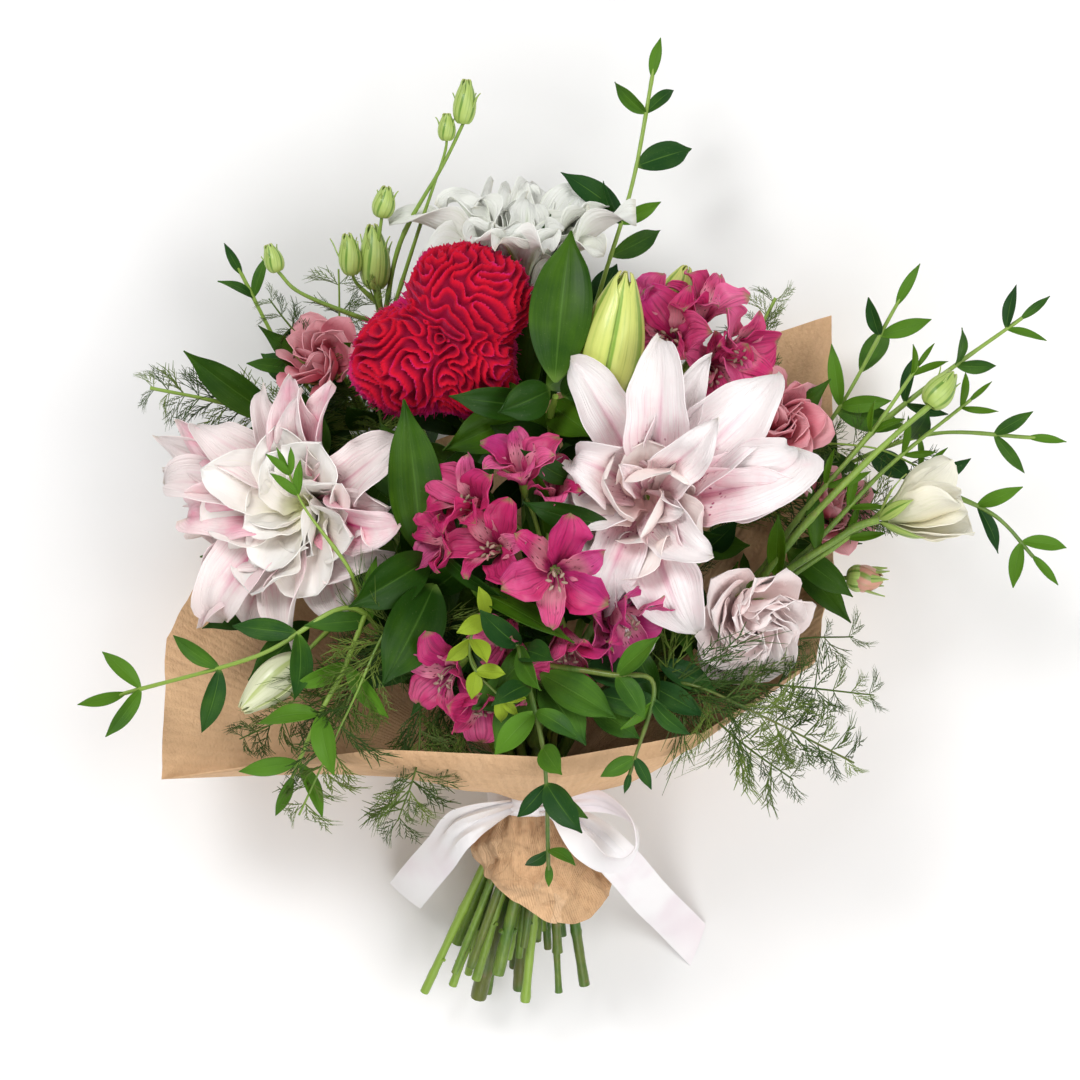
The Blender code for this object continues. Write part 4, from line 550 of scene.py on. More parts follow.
def line_at(line, share):
    """The point and direction at a share of a line's length."""
    steps = np.linalg.norm(np.diff(line, axis=0), axis=1)
    run = np.concatenate([[0], np.cumsum(steps)]) / steps.sum()

    def spot(place):
        return np.array([np.interp(place, run, line[:, k]) for k in range(3)])

    return spot(share), unit(spot(min(share + 0.03, 1)) - spot(share - 0.03))


def flower_frame(axis):
    """Two directions across a flower's axis: its right and its top seen from the front."""
    axis = unit(axis)
    level = BUNDLE_SIDE if abs(axis[0]) < 0.95 else -UP
    right = unit(level - axis * (axis @ level))
    return right, np.cross(axis, right)


def outward(axis, azimuth):
    """The direction across a flower's axis at an azimuth in degrees."""
    right, top = flower_frame(axis)
    a = math.radians(azimuth)
    return right * math.cos(a) + top * math.sin(a)


def axes_of(along, face):
    """The three directions of a part that runs one way and faces another, as rows."""
    x, face = unit(along), np.asarray(face, float)
    z = unit(face - x * (x @ face))
    return np.array((x, np.cross(z, x), z))


def ease(x, low, high):
    """A smooth step from 0 at low to 1 at high."""
    t = np.clip((x - low) / (high - low), 0, 1)
    return t * t * (3 - 2 * t)


# Where the stems run

LOW_POINTS = 10
BRANCH_STEPS = 24


def bundle_slots():
    """Where each stem passes through the tie, packed without touching."""
    names = sorted(STEMS, key=lambda n: -STEMS[n][0])
    want, radii = [], []
    for name in names:
        radius, points = STEMS[name]
        reach = np.array(points[min(1, len(points) - 1)], float) - TIE
        far = max(reach @ BUNDLE_ALONG, START_REACH)
        want.append((reach @ BUNDLE_SIDE / far * START_SPREAD, reach @ BUNDLE_FRONT / far * START_SPREAD))
        radii.append(radius + BUNDLE_STEP / 2)
    slots, radii = np.array(want), np.array(radii)
    for step in range(PACK_ROUNDS):
        if step < PULL_ROUNDS:
            slots *= PULL
        for i in range(len(slots)):
            away = slots[i] - slots
            apart = np.linalg.norm(away, axis=1)
            apart[i] = 1e9
            deep = radii[i] + radii - apart
            for j in np.nonzero(deep > 0)[0]:
                push = away[j] / max(apart[j], 1e-6) * deep[j] / 2
                slots[i] += push
                slots[j] -= push
    return dict(zip(names, slots - slots.mean(axis=0)))


def bundle_point(slot, along, spread=1.0):
    """A point of the bundle near the tie, at a place along it."""
    return TIE + BUNDLE_ALONG * along + (BUNDLE_SIDE * slot[0] + BUNDLE_FRONT * slot[1]) * spread


def below_tie(slot, y):
    """Where a stem is below the tie at the height y; the bundle turns as it spreads."""
    turned = FOOT_SPREAD * (
        slot[0] * math.cos(FOOT_TURN) - slot[1] * math.sin(FOOT_TURN),
        slot[0] * math.sin(FOOT_TURN) + slot[1] * math.cos(FOOT_TURN),
    )
    start = TIE - BUNDLE_ALONG * CLAMP
    share = (start[1] - y) / (start[1] - FOOT[1])
    across = slot * (1 - share) + turned * share
    middle = start * (1 - share) + FOOT * share
    return np.array((middle[0] + across[0], y, middle[2] + across[1]))


def stem_lines():
    """The line of every stem and branch, by name."""
    lines = {}
    for number, (name, slot) in enumerate(bundle_slots().items()):
        foot_y = FOOT[1] + ((number * 37) % 11 - 5) * FOOT_STEP
        high = [bundle_point(slot, KNEE * 0.6, 1.55), bundle_point(slot, KNEE, KNEE_SPREAD)]
        high += [np.array(p, float) for p in STEMS[name][1]]
        if name in HEAD_AXES:
            high.insert(-1, high[-1] - unit(HEAD_AXES[name]) * APPROACH)
        low = [below_tie(slot, foot_y), bundle_point(slot, -CLAMP), bundle_point(slot, CLAMP)]
        bare = np.linspace(low[0], low[1], LOW_POINTS)
        lines[name] = np.vstack([bare, low[2], smooth_line(high, 10 * (len(high) - 1))])
    for name, (stem, start, points, _) in BRANCHES.items():
        line = lines[stem]
        near = line[np.linalg.norm(line - np.array(start, float), axis=1).argmin()]
        lines[name] = smooth_line([near, *points], BRANCH_STEPS)
    return lines


def owner_of(line_name):
    """The stem that a branch or stalk belongs to; a stem is its own."""
    row = BRANCHES.get(line_name) or EXTRA_STALKS.get(line_name)
    return row[0] if row else line_name


LINES = stem_lines()
LINES.update({name: smooth_line(points, BRANCH_STEPS) for name, (_, points, _) in EXTRA_STALKS.items()})


# Making and joining meshes

GRIDS = {}
BEND_STEPS = 64


def deselect():
    bpy.ops.object.select_all(action="DESELECT")


def take(pieces):
    """Selects these objects and nothing else, with the first one active."""
    deselect()
    for piece in pieces:
        piece.select_set(True)
    bpy.context.view_layer.objects.active = pieces[0]


def join(name, pieces):
    """One object out of several, placed at the origin."""
    take(pieces)
    if len(pieces) > 1:
        bpy.ops.object.join()
    piece = bpy.context.view_layer.objects.active
    bpy.ops.object.transform_apply(location=True, rotation=True, scale=True)
    piece.name = piece.data.name = name
    return piece


def thicken(piece, thick):
    """Turns a joined sheet into a closed skin."""
    take([piece])
    bpy.ops.object.modifier_add(type="SOLIDIFY")
    skin = piece.modifiers[-1]
    skin.thickness = thick
    skin.offset = 0.0
    skin.use_rim = True
    bpy.ops.object.modifier_apply(modifier=skin.name)
    return piece


def complete(piece, look, nodes, smooth=60):
    """Gives a piece its finish and ties it to the frame."""
    take([piece])
    bpy.ops.object.shade_smooth_by_angle(angle=math.radians(smooth))
    piece.data.materials.clear()
    piece.data.materials.append(finishes()[look])
    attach(piece, "root")
    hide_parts(*nodes)
    return piece


def dress(name, made, look, nodes, thick, smooth=60):
    """One finished piece out of thin parts."""
    return complete(thicken(join(name, made), thick), look, nodes, smooth)


def points_of(piece):
    """A mesh's points, in metres."""
    flat = np.empty(len(piece.data.vertices) * 3)
    piece.data.vertices.foreach_get("co", flat)
    return flat.reshape(-1, 3)


def store(piece, name, values):
    """Stores a value on each of a mesh's points, for its finish to read."""
    held = piece.data.attributes.get(name) or piece.data.attributes.new(name, "FLOAT", "POINT")
    spread_out = np.broadcast_to(values, len(piece.data.vertices))
    held.data.foreach_set("value", spread_out.astype(np.float32).copy())


def blank(rows, cols):
    """A flat grid to shape, with its places across (-1 to 1) and along (0 to 1)."""
    if (rows, cols) not in GRIDS:
        deselect()
        bpy.ops.mesh.primitive_grid_add(x_subdivisions=cols, y_subdivisions=rows, size=2)
        first = bpy.context.object
        flat = points_of(first)
        GRIDS[rows, cols] = (first.data, flat[:, 0].copy(), (flat[:, 1] + 1) / 2)
        bpy.data.objects.remove(first)
    mesh, s, t = GRIDS[rows, cols]
    piece = bpy.data.objects.new("blade", mesh.copy())
    bpy.context.scene.collection.objects.link(piece)
    return piece, s, t


def set_points(piece, points, **values):
    """Moves a mesh's points, in millimetres, and stores values on them."""
    piece.data.vertices.foreach_set("co", (np.asarray(points) * MM).astype(np.float32).ravel())
    for name, value in values.items():
        store(piece, name, value)
    piece.data.update()


def outline(t, bow=1.0, full=0.8, narrow=0.03, point=0.0):
    """Half the width of a blade along its length, as a share of its widest."""
    half = np.sin(np.pi * np.clip(t, 0, 1) ** bow) ** full
    half = half * (1 - point * ease(t, 0.72, 1.0))
    return np.maximum(half, narrow * (1 - ease(t, 0.3, 0.55)) + 0.02)


def blade(
    origin, along, face, length, width, rows=16, cols=8, lift=0.0, curl=0.0, hook=0.0, bow=1.0, full=0.8,
    point=0.0, narrow=0.03, cup=0.0, flat_tip=0.6, keel=0.0, wave=0.0, waves=2.5, twist=0.0, sweep=0.0,
    folds=0.0, fray=0.0, tone=None,
):
    """A petal or leaf, from its root along one direction with its face to another.

    lift, curl and hook, in degrees, are its slope at the root, how that changes and the tip's extra turn.
    cup is the half angle of its cross-section and keel the depth of its midrib. sweep bends it to one side.
    wave is the ruffle of its edges, fray how uneven they are and folds the depth of the folds along it.
    """
    piece, s, t = blank(rows, cols)
    fine = np.linspace(0, 1, BEND_STEPS + 1)
    slope = np.radians(lift + curl * fine + hook * ease(fine, 0.7, 1.0))
    level, steep = np.cos(slope), np.sin(slope)
    run = np.concatenate([[0], np.cumsum((level[1:] + level[:-1]) / (2 * BEND_STEPS))]) * length
    rise = np.concatenate([[0], np.cumsum((steep[1:] + steep[:-1]) / (2 * BEND_STEPS))]) * length
    a = np.interp(t, fine, slope)
    zero = np.zeros_like(t)
    centre = np.stack([np.interp(t, fine, run), sweep * length * t**2, np.interp(t, fine, rise)], 1)
    up = np.stack([-np.sin(a), zero, np.cos(a)], 1)
    side = np.stack([zero, zero + 1, zero], 1)
    w = np.radians(twist * t)[:, None]
    side, up = side * np.cos(w) + up * np.sin(w), up * np.cos(w) - side * np.sin(w)
    phase = [vary(0, TURN) for _ in range(6)]
    half = outline(t, bow, full, narrow, point) * width / 2
    ragged = np.sin(13 * t + phase[4] + np.sign(s)) + 0.6 * np.sin(31 * t + phase[5] - np.sign(s))
    half = half * (1 + fray * ragged)
    c = np.maximum(cup * (1 - flat_tip * ease(t, 0.3, 1.0)), 1e-3)
    ruffle = np.abs(s) ** 1.7 * ease(t, 0.1, 0.45) * (
        np.sin(TURN * waves * t + phase[0] + 1.6 * s) + 0.5 * np.sin(15 * waves * t / 1.7 + phase[1] - 2 * s)
    )
    drift = 0.012 * width * (np.sin(5 * t + phase[2]) * s + np.sin(3 * s + 4 * t + phase[3]))
    across = half * np.sin(c * s) / c
    height = half * (1 - np.cos(c * s)) / c - keel * width * np.exp(-((s / 0.16) ** 2)) * np.sin(np.pi * t)
    height = height + wave * width * ruffle + drift
    height = height + folds * width * np.cos(7.5 * s + 2 * t + phase[3]) * ease(t, 0.02, 0.3) * (
        1 - ease(t, 0.75, 1)
    )
    local = centre + side * across[:, None] + up * height[:, None]
    points = local @ axes_of(along, face) + np.asarray(origin, float)
    set_points(piece, points, tone=random.random() if tone is None else tone)
    return piece


def tubes(name, lines, tone=0.5, resolution=3):
    """Round bars along lines, each a line of points and a radius at each, as one mesh."""
    curve = bpy.data.curves.new(name, "CURVE")
    curve.dimensions = "3D"
    curve.bevel_depth = 1.0
    curve.bevel_resolution = resolution
    curve.use_fill_caps = True
    for line, radii in lines:
        spline = curve.splines.new("POLY")
        spline.points.add(len(line) - 1)
        places = np.hstack([np.asarray(line) * MM, np.ones((len(line), 1))])
        spline.points.foreach_set("co", places.astype(np.float32).ravel())
        wide = np.broadcast_to(radii, len(line)) * MM
        spline.points.foreach_set("radius", wide.astype(np.float32).copy())
    piece = bpy.data.objects.new(name, curve)
    bpy.context.scene.collection.objects.link(piece)
    take([piece])
    bpy.ops.object.convert(target="MESH")
    piece = bpy.context.object
    store(piece, "tone", tone)
    return piece


def copies(master, places):
    """Copies of an object, each with its own mesh: origin in millimetres, along, face and scale for each."""
    made = []
    for origin, along, face, scale in places:
        turn = axes_of(along, face).T * np.broadcast_to(scale, 3)
        piece = master.copy()
        piece.data = master.data.copy()
        bpy.context.scene.collection.objects.link(piece)
        rows = np.eye(4)
        rows[:3, :3] = turn
        rows[:3, 3] = np.asarray(origin) * MM
        piece.matrix_world = Matrix(rows.tolist())
        made.append(piece)
    return made


# Materials


class Number:
    """A number in a material, so that shader sums read as Python."""

    def __init__(self, finish, socket):
        self.finish = finish
        self.socket = socket

    def sum(self, operation, *values):
        made = self.finish.node("Math", {"operation": operation}, dict(enumerate(values)))
        return Number(self.finish, made.outputs[0])

    def __add__(self, other):
        return self.sum("ADD", self, other)

    __radd__ = __add__

    def __sub__(self, other):
        return self.sum("SUBTRACT", self, other)

    def __rsub__(self, other):
        return self.sum("SUBTRACT", other, self)

    def __mul__(self, other):
        return self.sum("MULTIPLY", self, other)

    __rmul__ = __mul__

    def __abs__(self):
        return self.sum("ABSOLUTE", self)

    def sine(self):
        return self.sum("SINE", self)

    def step(self, low, high, bottom=0.0, top=1.0):
        """A smooth step between two values of the number."""
        settings = {"interpolation_type": "SMOOTHSTEP", "clamp": True}
        values = {"Value": self, "From Min": low, "From Max": high, "To Min": bottom, "To Max": top}
        return Number(self.finish, self.finish.node("MapRange", settings, values).outputs[0])


class Finish:
    """A material for one kind of surface."""

    def __init__(self, name, **constants):
        self.material = bpy.data.materials.new(name)
        self.material.use_nodes = True
        self.tree = self.material.node_tree
        self.shader = self.tree.nodes["Principled BSDF"]
        for socket, value in constants.items():
            self.shader.inputs[socket.replace("_", " ").title().replace("Ior", "IOR")].default_value = value
        self.places = self.node("TexCoord").outputs["Object"]
        self.colour = None

    def node(self, kind, settings=None, values=None):
        made = self.tree.nodes.new("ShaderNode" + kind)
        for key, value in (settings or {}).items():
            setattr(made, key, value)
        for key, value in (values or {}).items():
            value = getattr(value, "socket", value)
            if isinstance(value, bpy.types.NodeSocket):
                self.tree.links.new(value, made.inputs[key])
            else:
                made.inputs[key].default_value = value
        return made

    def across_and_along(self):
        """The place on a blade: 0 at its midrib to 1 at its edge, and 0 at its root to 1 at its tip."""
        parts = self.node("SeparateXYZ", None, {0: self.node("UVMap", {"uv_map": "UVMap"}).outputs[0]})
        u, v = Number(self, parts.outputs[0]), Number(self, parts.outputs[1])
        return abs(u * 2 - 1), v, u

    def attribute(self, name):
        return Number(self, self.node("Attribute", {"attribute_name": name}).outputs["Fac"])

    def noise(self, scale, detail=2.0, stretch=None, places=None):
        """Noise on object coordinates, scale in turns a metre, or on stretched places."""
        where = places if places is not None else self.places
        if stretch is not None:
            where = self.node("Mapping", None, {"Vector": where, "Scale": stretch}).outputs[0]
        values = {"Vector": where, "Scale": scale, "Detail": detail}
        return Number(self, self.node("TexNoise", None, values).outputs[0])

    def blade_places(self, across, along):
        """Coordinates on a blade for streaks and dots that follow it, shifted from blade to blade."""
        shift = self.attribute("tone") * 37
        return self.node("CombineXYZ", None, {0: across, 1: along, 2: shift}).outputs[0]

    def streaks(self, across, along, detail=3.0):
        """Noise in turns across and along a blade."""
        return self.noise(1.0, detail, places=self.blade_places(across, along))

    def spots(self, across, along, randomness):
        """How far each place on a blade is from the nearest of scattered spots."""
        values = {"Vector": self.blade_places(across, along), "Scale": 1.0, "Randomness": randomness}
        return Number(self, self.node("TexVoronoi", {"feature": "F1"}, values).outputs["Distance"])

    def mix(self, share, first, second, kind="MIX"):
        made = self.node("Mix", {"data_type": "RGBA", "blend_type": kind})
        for key, value in ((0, share), (6, first), (7, second)):
            value = getattr(value, "socket", value)
            if isinstance(value, bpy.types.NodeSocket):
                self.tree.links.new(value, made.inputs[key])
            elif key == 0:
                made.inputs[key].default_value = value
            else:
                made.inputs[key].default_value = (*value[:3], 1.0)
        return made.outputs[2]

    def over(self, share, colour):
        """Lays a colour over what the finish has so far."""
        self.colour = self.mix(share, self.colour, colour)

    def paint(self, height=None, depth=0.0003, strength=0.6, rough=None):
        """Connects what changes over the surface, and gives back the material."""
        self.tree.links.new(self.colour, self.shader.inputs["Base Color"])
        if rough is not None:
            self.tree.links.new(rough.socket, self.shader.inputs["Roughness"])
        if height is not None:
            bump = self.node("Bump", None, {"Strength": strength, "Distance": depth, "Height": height})
            self.tree.links.new(bump.outputs[0], self.shader.inputs["Normal"])
        return self.material


def soft_petal(name, rough):
    """The body of every petal finish: a little light goes through it."""
    return Finish(name, roughness=rough, subsurface_weight=0.3, subsurface_scale=0.004,
                  subsurface_radius=(1.0, 0.9, 0.9), specular_ior_level=0.3)


def lily_finish(name, pale, wash, stripe, dots, amount):
    """Lily petals: a pale edge, a wash towards the root, a darker midrib, fine veins and raised dots."""
    f = soft_petal(name, 0.42)
    across, along, u = f.across_and_along()
    tone = f.attribute("tone")
    streak = f.streaks(u * 26, along * 2.2)
    cloud = f.noise(70.0, 3.0)
    washed = (1 - along).step(0.2, 0.95) * 0.85 + cloud * 0.8 - 0.34 + (tone - 0.5) * 0.7
    f.colour = f.mix((washed * (1 - across * 0.4)).step(0.0, 0.9) * amount, pale, wash)
    rib = (1 - across.step(0.0, 0.13)) * (1 - along.step(0.5, 0.95)) * (0.15 + tone * tone * 0.6)
    f.over(rib * amount, stripe)
    veins = streak.step(0.5, 0.72) * (1 - along.step(0.35, 0.9)) * 0.25
    f.over(veins * amount, stripe)
    f.over(along.step(0.96, 1.0) * 0.35, (0.62, 0.55, 0.34))
    f.over((1 - along).step(0.9, 1.0) * 0.6, (0.55, 0.60, 0.25))
    inside = (1 - f.spots(u * 13, along * 24, 0.9).step(0.14, 0.22)) * along.step(0.08, 0.16)
    inside = inside * (1 - along.step(0.4, 0.56)) * (1 - across.step(0.6, 0.85))
    inside = inside * f.noise(45.0).step(0.38, 0.5)
    f.over(inside * 0.85, dots)
    height = f.streaks(u * 34, along * 3, 2.0) * 0.7 + inside * 0.8 + cloud * 0.3
    return f.paint(height, 0.0017, 0.9)


def plain_petal_finish(name, main, light, vein, rough=0.55, vein_share=0.25):
    """Rose, lisianthus and alstroemeria petals: painted light that makes them lighter towards the tip, with
    fine veins along them.
    """
    f = soft_petal(name, rough)
    _, along, u = f.across_and_along()
    tone = f.attribute("tone")
    streak = f.streaks(u * 22, along * 2.5)
    cloud = f.noise(90.0, 3.0)
    # Painted light: petals grow lighter towards the tip, where they rise out of the bloom; cloud and tone add
    # random changes of colour.
    light_and_tone = along.step(0.45, 1.0) * 0.7 + cloud * 0.4 + (tone - 0.5) * 0.5
    f.colour = f.mix(light_and_tone.step(0.1, 1.0), main, light)
    f.over(streak.step(0.48, 0.75) * vein_share, vein)
    f.over((1 - along).step(0.45, 0.95) * 0.65, vein)
    height = f.streaks(u * 30, along * 4, 2.0) + cloud * 0.4
    return f.paint(height, 0.0006, 0.7)


def alstroemeria_finish(name, dashed):
    """Magenta petals with a green tip, dark veins and painted shade towards the root; the inner ones carry
    dark dashes on a pale throat.
    """
    c = colours()
    f = soft_petal(name, 0.42)
    across, along, u = f.across_and_along()
    tone = f.attribute("tone")
    streak = f.streaks(u * 20, along * 2.0)
    cloud = f.noise(110.0, 3.0)
    f.colour = f.mix((cloud * 0.8 + (tone - 0.5) * 1.0).step(0.1, 0.9), c.alstro, (0.78, 0.12, 0.30))
    f.over(streak.step(0.46, 0.7) * 0.7, c.alstro_veins_and_shade)
    # Painted shade: each petal darker towards its root, deep in the floret.
    f.over((1 - along).step(0.6, 1.0) * 0.7, c.alstro_veins_and_shade)
    f.over(f.noise(13.0, 1.0).step(0.44, 0.6) * 0.6, (0.42, 0.03, 0.20))
    tip = along.step(0.88, 1.0) * (1 - across.step(0.5, 1.0))
    f.over(tip * 0.75, (0.16, 0.26, 0.05))
    if dashed:
        f.over(along.step(0.2, 0.4) * (1 - along.step(0.5, 0.75)) * 0.5, (0.86, 0.42, 0.45))
        dash = (1 - f.spots(u * 12, along * 7, 0.8).step(0.18, 0.27)) * along.step(0.25, 0.35)
        f.over(dash * (1 - along.step(0.7, 0.85)), (0.12, 0.004, 0.02))
    return f.paint(streak + cloud * 0.4, 0.0006, 0.7)


def leaf_finish(name, dark, light, rough, gloss, rib=0.45):
    """Leaves: a pale midrib, fine veins along it, slow changes of green and a waxy skin."""
    f = Finish(name, roughness=rough, coat_weight=gloss, coat_roughness=0.35, specular_ior_level=0.12)
    across, along, u = f.across_and_along()
    tone = f.attribute("tone")
    cloud = f.noise(38.0, 4.0)
    fine = f.noise(900.0, 2.0)
    veins = f.streaks(u * 24, along * 1.4, 2.0)
    # On the glossy leaves this is painted light: their lighter green is the lit colour of the leaf, laid in
    # slow patches and from leaf to leaf.
    f.colour = f.mix((cloud * 0.9 + tone * 1.0 - 0.5 + veins * 0.25).step(0.1, 0.95), dark, light)
    midrib = (1 - across.step(0.0, 0.07)) * (1 - along.step(0.5, 1.0))
    f.over(midrib * rib, (0.13, 0.28, 0.04))
    f.over((1 - along).step(0.9, 1.0) * 0.5, (0.20, 0.34, 0.06))
    f.over(tone.step(1.0, 1.3) * 0.8, (0.34, 0.44, 0.03))
    f.over(fine.step(0.66, 0.75) * 0.12, (0.30, 0.38, 0.16))
    height = veins * 0.7 + (1 - across.step(0.0, 0.06)) * -0.6 + fine * 0.12
    return f.paint(height, 0.0005, 0.6, cloud * 0.18 + (rough - 0.07))


def stem_finish(name, green, pale):
    """Stems: streaks along them, lighter and duller towards the cut."""
    f = Finish(name, roughness=0.42, specular_ior_level=0.45, coat_weight=0.08)
    cloud = f.noise(45.0, 4.0)
    streak = f.noise(1.0, 3.0, stretch=(900.0, 60.0, 900.0))
    tone = f.attribute("tone")
    f.colour = f.mix((cloud * 0.8 + streak * 0.5 + tone * 1.1 - 0.65).step(0.0, 0.9), green, pale)
    f.over((1 - tone).step(0.6, 0.95) * cloud.step(0.3, 0.6) * 0.6, (0.15, 0.12, 0.03))
    scars = f.noise(160.0, 2.0).step(0.60, 0.76) * (1 - tone).step(0.1, 0.7)
    f.over(scars * 0.5, (0.20, 0.13, 0.05))
    return f.paint(streak + cloud * 0.4, 0.0005, 0.6)


def fern_finish(name):
    """Fern needles: two greens, in patches and from twig to twig."""
    c = colours()
    f = Finish(name, roughness=0.6, specular_ior_level=0.25)
    share = f.noise(14.0, 2.0) + f.attribute("tone") * 0.8 - 0.5
    f.colour = f.mix(share.step(0.1, 0.9), c.fern, (0.15, 0.22, 0.035))
    return f.paint()


def bud_finish(name, pale, dark, stripes=6.0):
    """Closed buds: pale lobes with darker green stripes along them."""
    f = Finish(name, roughness=0.36, specular_ior_level=0.5, coat_weight=0.12)
    across, along, u = f.across_and_along()
    cloud = f.noise(80.0, 3.0)
    rib = 1 - across.step(0.05, 0.26)
    seam = across.step(0.82, 1.0) * 0.5
    side = (u * stripes * TURN).sine().step(0.2, 1.0) * 0.35
    striped = rib * 0.8 + seam + side * along.step(0.0, 0.5) + (cloud - 0.5) * 0.6
    f.colour = f.mix(striped.step(0.05, 1.0), pale, dark)
    f.over((1 - along).step(0.75, 1.0) * 0.6, (0.35, 0.50, 0.10))
    f.over(along.step(0.95, 1.0) * 0.5, (0.62, 0.55, 0.22))
    height = f.streaks(u * 30, along * 3, 2.0) + cloud * 0.4
    return f.paint(height, 0.0005, 0.5)


def celosia_finish(name):
    """Velvet: bright red on the ridges, painted shade in a darker red in the folds, and a painted purple-red
    sheen on the crests and round the edge.
    """
    c = colours()
    f = Finish(name, roughness=0.75, specular_ior_level=0.2, sheen_weight=0.45, sheen_roughness=0.35,
               sheen_tint=(1.0, 0.15, 0.4, 1.0))
    ridge = f.attribute("ridge")
    fuzz = f.noise(1400.0, 2.0)
    cloud = f.noise(60.0, 3.0)
    # Painted shade: the folds between the ridges are darker.
    f.colour = f.mix((ridge + (fuzz - 0.5) * 0.3).step(0.1, 0.8), c.celosia_fold_shade, c.red)
    edge = f.attribute("rim")
    # Painted sheen: purple-red on the crests in patches, and on the rim band round the head's edge.
    crest = (ridge.step(0.6, 1.0) * (cloud - 0.36) * 2.6 + edge * 0.75) * (0.6 + fuzz * 0.8)
    f.over(crest.step(0.05, 0.8), c.celosia_sheen)
    return f.paint(fuzz + cloud * 0.5, 0.0006, 0.8)


def kraft_finish(name):
    """Kraft paper: fine ribs and fibres, painted shade in the creases, round the tie and on the folded lip,
    and painted light and shade on the crumpled facets, mostly on the skirt.
    """
    c = colours()
    f = Finish(name, roughness=0.78, specular_ior_level=0.25)
    u = f.across_and_along()[2]
    fibre = f.noise(1.0, 3.0, stretch=(700.0, 500.0, 500.0))
    cloud = f.noise(14.0, 5.0)
    ribs = (u * 1100.0).sine() * 0.5 + 0.5
    crease = f.attribute("crease")
    f.colour = f.mix((cloud + fibre * 0.4 - 0.3 + ribs * 0.07).step(0.15, 0.95), c.kraft, c.kraft_dark)
    f.over(f.noise(420.0, 2.0).step(0.6, 0.8) * 0.25, (0.66, 0.44, 0.26))
    # Painted shade: darker brown along the creases, round the tie and on the folded lip.
    f.over(crease * 0.6, (0.32, 0.175, 0.09))
    drift = f.node("TexNoise", None, {"Vector": f.places, "Scale": 30.0}).outputs[1]
    bent = f.mix(0.03, f.places, drift, "ADD")
    leaned = {"Vector": bent, "Rotation": (0, 0, 0.7), "Scale": (1.0, 0.4, 1.0)}
    spots = {"Vector": f.node("Mapping", None, leaned).outputs[0], "Scale": 62.0, "Randomness": 1.0}
    facets = f.node("TexVoronoi", {"feature": "F1"}, spots)
    edges = f.node("TexVoronoi", {"feature": "DISTANCE_TO_EDGE"}, spots)
    crush = f.attribute("crush")
    line = (1 - Number(f, edges.outputs["Distance"]).step(0.0, 0.05)) * crush
    # Painted light and shade: each facet of the crumpled paper is darker or lighter, as if lit from its own
    # side.
    facet_shading = f.node("SeparateXYZ", None, {0: facets.outputs["Color"]})
    f.over(Number(f, facet_shading.outputs[0]) * crush * 0.34, (0.30, 0.17, 0.075))
    f.over(Number(f, facet_shading.outputs[1]).step(0.4, 1.0) * crush * 0.45, (0.90, 0.66, 0.44))
    # Painted shade: thin darker lines along the facet edges.
    f.over(line * 0.1, (0.24, 0.13, 0.055))
    crushed = Number(f, facets.outputs["Distance"]) * crush
    height = ribs * 0.2 + fibre * 0.5 + f.noise(60.0, 4.0) * 1.2 + crushed * 4 - line * 0.3
    return f.paint(height, 0.0016, 0.9, cloud * 0.15 + 0.68)


def satin_finish(name):
    """Satin: a soft shine that runs along the ribbon over a fine weave, and painted shade in slow pinkish
    patches.
    """
    c = colours()
    f = Finish(name, roughness=0.34, specular_ior_level=0.55, sheen_weight=0.3, sheen_roughness=0.3)
    across, along, u = f.across_and_along()
    drift = f.noise(22.0, 2.0)
    weave = (u * 380.0).sine() * 0.5 + f.streaks(u * 60, along * 500, 2.0)
    # Painted shade: darker, pinker patches over the ribbon.
    f.colour = f.mix(drift.step(0.4, 0.7) * 0.6, c.satin, c.satin_painted_shade)
    f.over(across.step(0.94, 0.97) * 0.25, (0.92, 0.90, 0.93))
    return f.paint(weave, 0.0002, 0.25, drift * 0.2 + 0.22)


FINISHES = {}


